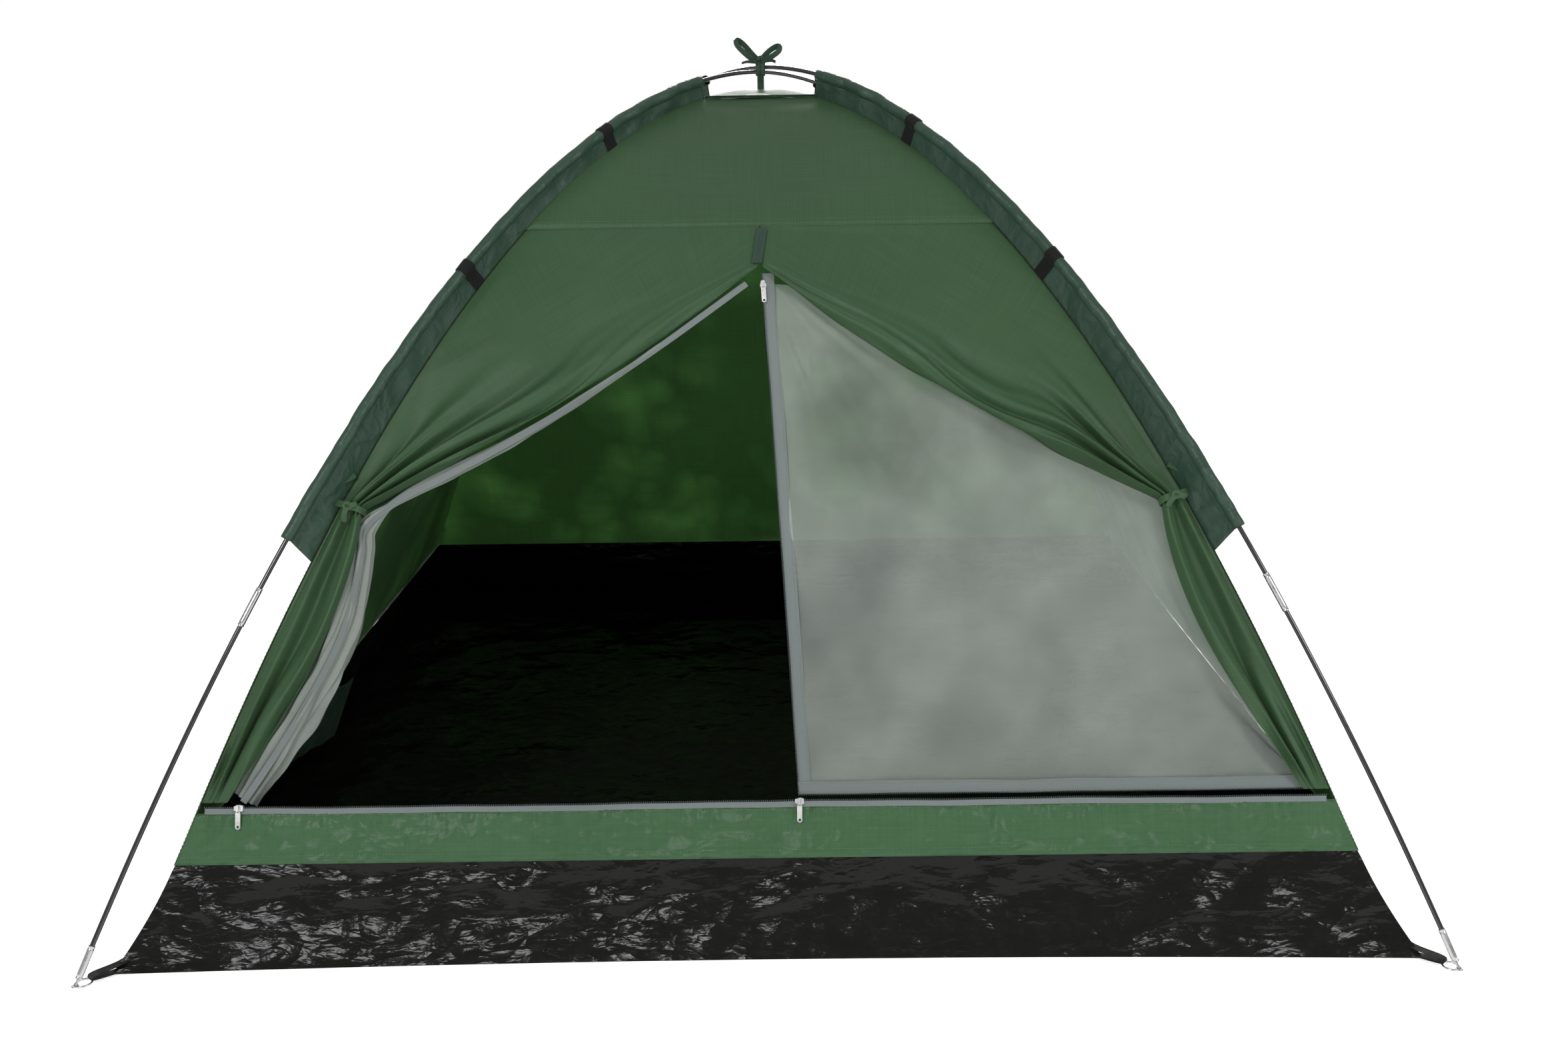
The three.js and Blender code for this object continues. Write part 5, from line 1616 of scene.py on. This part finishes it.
class TENT_OT_net_door(bpy.types.Operator):
    """Right half of the insect net, zipped closed, with its tapes"""

    bl_idname = "tent.net_door"
    bl_label = "Net door"

    def execute(self, context):
        s = sizes()
        leaf = NetFrame()
        share = np.linspace(0.02, 1, 130)
        z = leaf.top[2] + share * leaf.down[2]
        left = leaf.top + share[:, None] * leaf.down
        fold = leaf.top + share[:, None] * leaf.hinge
        u_edge = np.clip((s.apex - z) / (s.apex - s.tie), 0, 1)
        above_x = 0.004 + (tied_waist() - 0.004) * u_edge + 0.020
        u_low = np.clip((s.tie - z) / (s.tie - s.sill), 0, 1)
        below_x = below_tie(u_low, 1)[0] + 0.018
        out_x = np.where(z > s.tie, above_x, below_x)
        out_x = np.minimum(np.maximum(out_x, fold[:, 0] + 0.004), canopy_half(z) - 0.010)
        far = wall_point(out_x, z, -0.010)
        across = np.linspace(0, 1, 100)
        inner = left[:, None] + (fold - left)[:, None] * across[None, :, None]
        strip = np.linspace(0, 1, 26)[1:]
        outer = fold[:, None] + (far - fold)[:, None] * strip[None, :, None]
        outer[..., 1] += 0.006 * np.sin(math.pi * strip)
        points = np.concatenate([inner, outer], 1)
        x, zz = points[..., 0], points[..., 2]
        edge = np.minimum(smooth(np.concatenate([across, 1 + 0 * strip]), 0, 0.06)[None],
                          smooth(1 - share, 0, 0.05)[:, None])
        end = smooth(np.concatenate([1 + 0 * across, 1 - strip]), 0, 0.3)[None]
        radial = np.arctan2(x - 0.0, 1.02 - zz)
        distance = np.hypot(x, 1.02 - zz)
        folds = (0.0062 * (creases(x, zz, 701, 9, 0.07, 0.30, along=-0.9, spread=0.7) - 0.4)
                 + 0.0030 * ripple(x, zz, 705, 6, 0.08, 0.30)
                 + 0.0022 * np.sin(radial * 38 + 2 * ripple(distance, radial, 709, 4, 0.2, 0.6))
                 * smooth(distance, 0.02, 0.3) * np.exp(-distance / 0.5))
        points = points + (edge * end * folds)[..., None] * leaf.normal
        net = Cloth().grid(points, np.stack([x, zz], -1)).piece(
            "net_sheet", door_net(), outwards=(0, 0, 0.4))
        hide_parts("net_door")
        leaf.follow(net)
        self.tapes(s, leaf)
        return {"FINISHED"}

    def tapes(self, s, leaf):
        tapes, seams = Cloth(), []
        n = leaf.normal
        run = np.linspace(0.0, 1.0, 70)
        centre = leaf.top + run[:, None] * leaf.down
        side = leaf.hinge - leaf.down * (leaf.hinge @ leaf.down) / (leaf.down @ leaf.down)
        side /= np.linalg.norm(side)
        wander = 0.0012 * ripple(run, 0 * run, 31, 5, 0.15, 0.5)
        down = unit(leaf.down)
        half = 0.5 * s.tape
        edge = centre + side * (half + wander)[:, None] + n * 0.0012
        tapes.band(edge, np.broadcast_to(side, edge.shape), np.broadcast_to(n, edge.shape),
                   s.tape, 0.0009)
        low = leaf.foot + np.linspace(-0.001, 1.0, 90)[:, None] * (leaf.corner - leaf.foot)
        wander = 0.0010 * ripple(low[:, 0], 0 * low[:, 0], 37, 6, 0.1, 0.4)
        above = -down
        bottom = low + above * (half + wander)[:, None] + n * 0.0022
        tapes.band(bottom, np.broadcast_to(above, low.shape), np.broadcast_to(n, low.shape),
                   s.tape, 0.0009)
        piece = tapes.piece("net_tapes", zip_tape_cloth())
        leaf.follow(piece)
        for offset in (0.0035, 0.0165):
            seams.append(centre + side * (offset + 0 * run)[:, None] + n * 0.0018)
            seams.append(low + above * offset + n * 0.0028)
        stitches = row_along("net_stitches", seams, [n] * len(seams), s.stitch_pitch * 0.7,
                             (0.0030, 0.0008, 0.0006), pale_sill_thread(), jitter=0.06, seed=4)
        leaf.follow(stitches)
        rows = [centre - side * 0.0004 + n * 0.0022, low - above * 0.0004 + n * 0.0026]
        teeth = row_along("net_zip_teeth", rows, [n, n], s.tooth_pitch,
                          (0.0019, 0.0046, 0.0024), moulded_coil(), slant=0.12)
        leaf.follow(teeth)


class TENT_OT_net_roll(bpy.types.Operator):
    """Left half of the insect net, gathered along the curtain's edge and down to the sill"""

    bl_idname = "tent.net_roll"
    bl_label = "Gathered net"

    def execute(self, context):
        s = sizes()
        u = np.linspace(0.03, 0.985, 40)
        x, z = curtain_edge(u)
        upper = wall_point(-x, z - 0.010, -0.009)
        u2 = np.linspace(0.05, 1.0, 34)
        z2 = s.tie + (s.sill + 0.012 - s.tie) * u2
        x2 = below_tie(u2, -1)[0] - 0.004 - 0.020 * smooth(u2, 0.05, 0.5)
        lower = wall_point(-x2, z2, -0.018)
        path = curve_through(np.concatenate([upper[::4], lower[::3]]), 170)
        run = np.linspace(0, 1, len(path))
        tie_at = run[np.argmin(np.abs(path[:, 2] - s.tie))]
        radius = np.where(run < tie_at, 0.003 + 0.005 * smooth(run, 0, tie_at),
                          0.008 + 0.014 * np.sin(0.75 * math.pi * np.clip(
                              (run - tie_at) / (1 - tie_at), 0, 1)) ** 0.7)
        radius = radius * (1 - 0.35 * np.exp(-((run - tie_at) / 0.02) ** 2))
        u_axis, v_axis = path_axes(path, (0, 1, 0))
        angle = 2 * math.pi * np.arange(56) / 56
        rr, aa = np.meshgrid(run, angle, indexing="ij")
        pleat = (0.17 * np.sin(6 * aa + 14 * rr) + 0.13 * np.sin(9 * aa - 9 * rr + 1)
                 + 0.10 * np.sin(4 * aa + 30 * rr) + 0.06 * np.sin(13 * aa + 5 * rr))
        wobble = 1 + 0.14 * ripple(rr, aa * 0.02, 77, 6, 0.04, 0.15)
        size = radius[:, None] * (1 + pleat) * wobble
        points = (path[:, None] + (size * np.cos(aa))[..., None] * u_axis[:, None]
                  + (size * np.sin(aa))[..., None] * v_axis[:, None] * 0.6)
        roll = Cloth().rings(points, np.stack([aa * 0.02, rr * 1.2], -1)).piece(
            "net_gathered", gathered_net())
        fit(roll, "tent", "net", "net_roll_left")
        outward = np.array([0, -0.85, 0.5])
        tape = path + outward * (radius * 0.85)[:, None]
        tape[:, 2] -= radius * 0.35
        tangent = headings(tape)
        across = unit(np.cross(tangent, outward))
        lie = np.cross(across, tangent)
        twist = 0.6 * ripple(run, 0 * run, 88, 4, 0.2, 0.7)[:, None]
        edge = Cloth().band(tape, across * np.cos(twist) + lie * np.sin(twist),
                            lie * np.cos(twist) - across * np.sin(twist), 0.011, 0.0009)
        fit(edge.piece("gathered_net_tape", zip_tape_cloth()), "tent", "net")
        return {"FINISHED"}


# ------------------------------------------------------------------ zips, ties and seams
class TENT_OT_zips(bpy.types.Operator):
    """Zip along the sill, the short zip above the door, and the finish of their sliders"""

    bl_idname = "tent.zips"
    bl_label = "Zips"

    def execute(self, context):
        s = sizes()
        half = float(canopy_half(s.sill))
        x = np.linspace(-half + 0.012, half - 0.012, 260)
        wave = 0.0012 * ripple(x, 0 * x, 19, 6, 0.12, 0.5)
        ny, nz = wall_normal(s.sill)
        out = np.array([0, float(ny), float(nz)])
        up = np.array([0, float(nz), -float(ny)])
        centre = wall_point(x, s.sill - 0.0050 + wave, 0.0012)
        tape = Cloth().band(centre, np.broadcast_to(up, centre.shape),
                            np.broadcast_to(out, centre.shape), 0.009, 0.0010)
        stub_top, stub_low = wall_point(0.004, s.gable_seam - 0.006, 0.004), wall_point(
            -0.005, s.apex + 0.004, 0.004)
        stub = stub_top + (stub_low - stub_top) * np.linspace(0, 1, 20)[:, None]
        side = np.broadcast_to(np.array([1.0, 0, 0]), stub.shape)
        face = np.array([0, *[float(v) for v in wall_normal(1.05)]])
        fit(tape.piece("sill_zip_tape", zip_tape_cloth()), "tent", "sill_cloth")
        cover = Cloth().band(stub, side, np.broadcast_to(face, stub.shape), 0.018, 0.0010)
        fit(cover.piece("apex_zip_cover", fine_tape_cloth()), "tent", "sleeve_cloth")
        rows = [wall_point(x, s.sill + 0.0006 + wave, 0.0026),
                stub + face * 0.0016]
        teeth = row_along("sill_zip_teeth", rows, [out, face], s.tooth_pitch,
                          (0.0018, 0.0036, 0.0020), moulded_coil(), slant=-0.12)
        fit(teeth, "tent", "slider_metal")
        for place in ("sill_left", "sill_right", "door"):
            for part in ("slider", "pull"):
                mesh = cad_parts[f"{place}_{part}"].data
                mesh.materials.clear()
                mesh.materials.append(white_lacquer())
        return {"FINISHED"}


class TENT_OT_ties(bpy.types.Operator):
    """Cloth tapes that hold the two curtains to the corner seams"""

    bl_idname = "tent.ties"
    bl_label = "Curtain ties"

    def execute(self, context):
        s = sizes()
        work = Cloth()
        for side in (-1, 1):
            inner, outer = tied_waist() - 0.006, float(canopy_half(s.tie)) + 0.004
            loop = curve_through([
                wall_point(side * outer, s.tie + 0.012, 0.004),
                wall_point(side * (outer - 0.012), s.tie + 0.006, 0.018),
                wall_point(side * (inner + 0.012), s.tie - 0.001, 0.020),
                wall_point(side * inner, s.tie - 0.005, 0.006),
                wall_point(side * (inner + 0.008), s.tie - 0.005, -0.010),
                wall_point(side * (outer - 0.014), s.tie + 0.002, -0.010),
                wall_point(side * (outer - 0.004), s.tie + 0.010, -0.003)], 60)
            tangent = headings(loop)
            middle = loop.mean(axis=0)
            radial = loop - middle
            radial -= tangent * (radial * tangent).sum(-1, keepdims=True)
            radial /= np.linalg.norm(radial, axis=1, keepdims=True)
            work.band(loop, np.cross(tangent, radial), radial, 0.011, 0.0016)
            knot = wall_point(side * (outer - 0.026), s.tie + 0.002, 0.022)
            ends = ((-0.010, -0.012), (0.013, -0.003)) if side > 0 else ((0.012, 0.002),
                                                                        (-0.006, -0.016))
            for dx, dz in ends:
                path = curve_through([knot, knot + (dx * 0.5, -0.004, dz * 0.4),
                                      knot + (dx, -0.003, dz), knot + (dx * 1.3, 0.0, dz * 1.7)],
                                     14)
                tangent = np.gradient(path, axis=0)
                across = unit(np.cross(tangent, (0, 1.0, 0.1)))
                facing = unit(np.cross(across, tangent))
                work.band(path, across, facing, 0.009, 0.0013)
            ring = knot + np.array([[0.006 * math.cos(a), -0.001, 0.005 * math.sin(a)]
                                    for a in np.linspace(0, 2 * math.pi, 16)])
            work.tube(ring, 0.0034, 10, caps=True)
            anchor = curve_through([
                wall_point(side * (outer - 0.002), s.tie + 0.012, 0.004),
                wall_point(side * (outer + 0.004), s.tie + 0.030, 0.010),
                wall_point(side * (float(canopy_half(s.tie + 0.05)) - 0.001), s.tie + 0.050,
                           0.008)], 20)
            tangent = np.gradient(anchor, axis=0)
            across = unit(np.cross(tangent, (side * 0.6, -1.0, 0.5)))
            facing = unit(np.cross(across, tangent))
            work.band(anchor, across, facing, 0.010, 0.0012)
        fit(work.piece("curtain_ties", canopy_polyester()), "tent", "canopy_cloth")
        return {"FINISHED"}


class TENT_OT_pocket(bpy.types.Operator):
    """Small cloth pocket that hangs inside on the left wall"""

    bl_idname = "tent.pocket"
    bl_label = "Inner pocket"

    def execute(self, context):
        s = sizes()
        u, v = np.meshgrid(np.linspace(0, 1, 36), np.linspace(0, 1, 30))
        y = -0.42 + 0.16 * u
        z = 0.080 + 0.145 * v - 0.02 * u * v
        belly = 0.020 * np.sin(math.pi * u) * (0.4 + 0.6 * v) * smooth(v, 0, 0.2)
        fold = 0.0035 * ripple(u, v, 15, 6, 0.15, 0.5) * np.sin(math.pi * u)
        x = -canopy_half(z) + 0.022 + 0.055 * u + belly + fold
        pocket = Cloth().grid(np.stack([x, y, z], -1), np.stack([y, z], -1)).piece(
            "inner_pocket", sleeve_polyester(), wall=s.cloth, outwards=(-2, 0, 0.3))
        fit(pocket, "tent", "sleeve_cloth")
        hook = Cloth()
        ring = np.array([[-canopy_half(0.23) + 0.020, -0.415 + 0.006 * math.cos(a),
                          0.230 + 0.009 * math.sin(a)] for a in np.linspace(0, 6.2, 24)])
        hook.tube(ring, 0.0014, 8)
        fit(hook.piece("pocket_loop", white_lacquer()), "tent", "slider_metal")
        return {"FINISHED"}


class TENT_OT_seams(bpy.types.Operator):
    """Rows of stitches along the sleeves, the gable and the sill"""

    bl_idname = "tent.seams"
    bl_label = "Seam stitches"

    def execute(self, context):
        s = sizes()
        paths, away = [], []
        for heading, _, _ in CORNERS.values():
            z = np.linspace(s.wall_foot + 0.004, float(canopy_height_at(0.118)), 200)
            half = canopy_half(z) - 0.0016
            for turns, side in ((0, 1), (0.5, -1)):
                line = wall_point(half * side, z, 0.0009)
                normal = np.stack([0 * z, *wall_normal(z)], -1)
                paths.append(turned(line, turns + heading + 0.25))
                away.append(turned(normal, turns + heading + 0.25))
        stitches = row_along("sleeve_seam_stitches", paths, away, s.stitch_pitch,
                             (0.0040, 0.0011, 0.0008), rust_thread(), jitter=0.05, seed=2)
        fit(stitches, "tent", "sleeve_cloth")
        x = np.linspace(-1, 1, 200)
        gable = float(canopy_half(s.gable_seam)) * x * 0.99
        normal = np.stack([0 * x, *[np.full_like(x, float(v)) for v in wall_normal(s.gable_seam)]],
                          -1)
        low = np.linspace(-1, 1, 400)
        rows = [wall_point(gable, s.gable_seam + 0.004, 0.0006),
                wall_point(gable, s.gable_seam + 0.011, 0.0006)]
        ups = [normal, normal]
        for z in (s.sill - 0.011, s.wall_foot + 0.006):
            line = low * (float(canopy_half(z)) - 0.006)
            rows.append(wall_point(line, z, 0.0026 if z > 0.18 else 0.0010))
            ups.append(np.stack([0 * line, *[np.full_like(line, float(v))
                                             for v in wall_normal(z)]], -1))
        more = row_along("panel_stitches", rows, ups, s.stitch_pitch * 0.8,
                         (0.0038, 0.0009, 0.0007), pale_sill_thread(), jitter=0.05, seed=3)
        fit(more, "tent", "sill_cloth")
        return {"FINISHED"}


# ------------------------------------------------------------------ panel and running
PIECE_OPERATORS = (
    TENT_OT_canopy, TENT_OT_tub, TENT_OT_sill, TENT_OT_curtains, TENT_OT_sleeves,
    TENT_OT_poles, TENT_OT_corners, TENT_OT_peak, TENT_OT_net_door, TENT_OT_net_roll,
    TENT_OT_zips, TENT_OT_ties, TENT_OT_pocket, TENT_OT_seams)


class TENT_PT_pieces(bpy.types.Panel):
    """Lists the tent's pieces, its sizes and its colours"""

    bl_idname = "TENT_PT_pieces"
    bl_label = "Dome tent"
    bl_space_type = "VIEW_3D"
    bl_region_type = "UI"
    bl_category = "Tent"

    def draw(self, context):
        column = self.layout.column(align=True)
        for operator in (TENT_OT_stage, *PIECE_OPERATORS):
            column.operator(operator.bl_idname, text=operator.bl_label)
        for group in (context.scene.tent_sizes, context.scene.tent_colours):
            column.separator()
            for name in group.bl_rna.properties.keys():
                if name not in ("rna_type", "name"):
                    column.prop(group, name)


CLASSES = (TentSizes, TentColours, TENT_OT_stage, *PIECE_OPERATORS, TENT_PT_pieces)


def register():
    for item in CLASSES:
        bpy.utils.register_class(item)
    bpy.types.Scene.tent_sizes = bpy.props.PointerProperty(type=TentSizes)
    bpy.types.Scene.tent_colours = bpy.props.PointerProperty(type=TentColours)


def unregister():
    del bpy.types.Scene.tent_colours
    del bpy.types.Scene.tent_sizes
    for item in reversed(CLASSES):
        bpy.utils.unregister_class(item)


def main():
    register()
    for operator in (TENT_OT_stage, *PIECE_OPERATORS):
        group, name = operator.bl_idname.split(".")
        getattr(getattr(bpy.ops, group), name)()


if __name__ == "__main__":
    main()
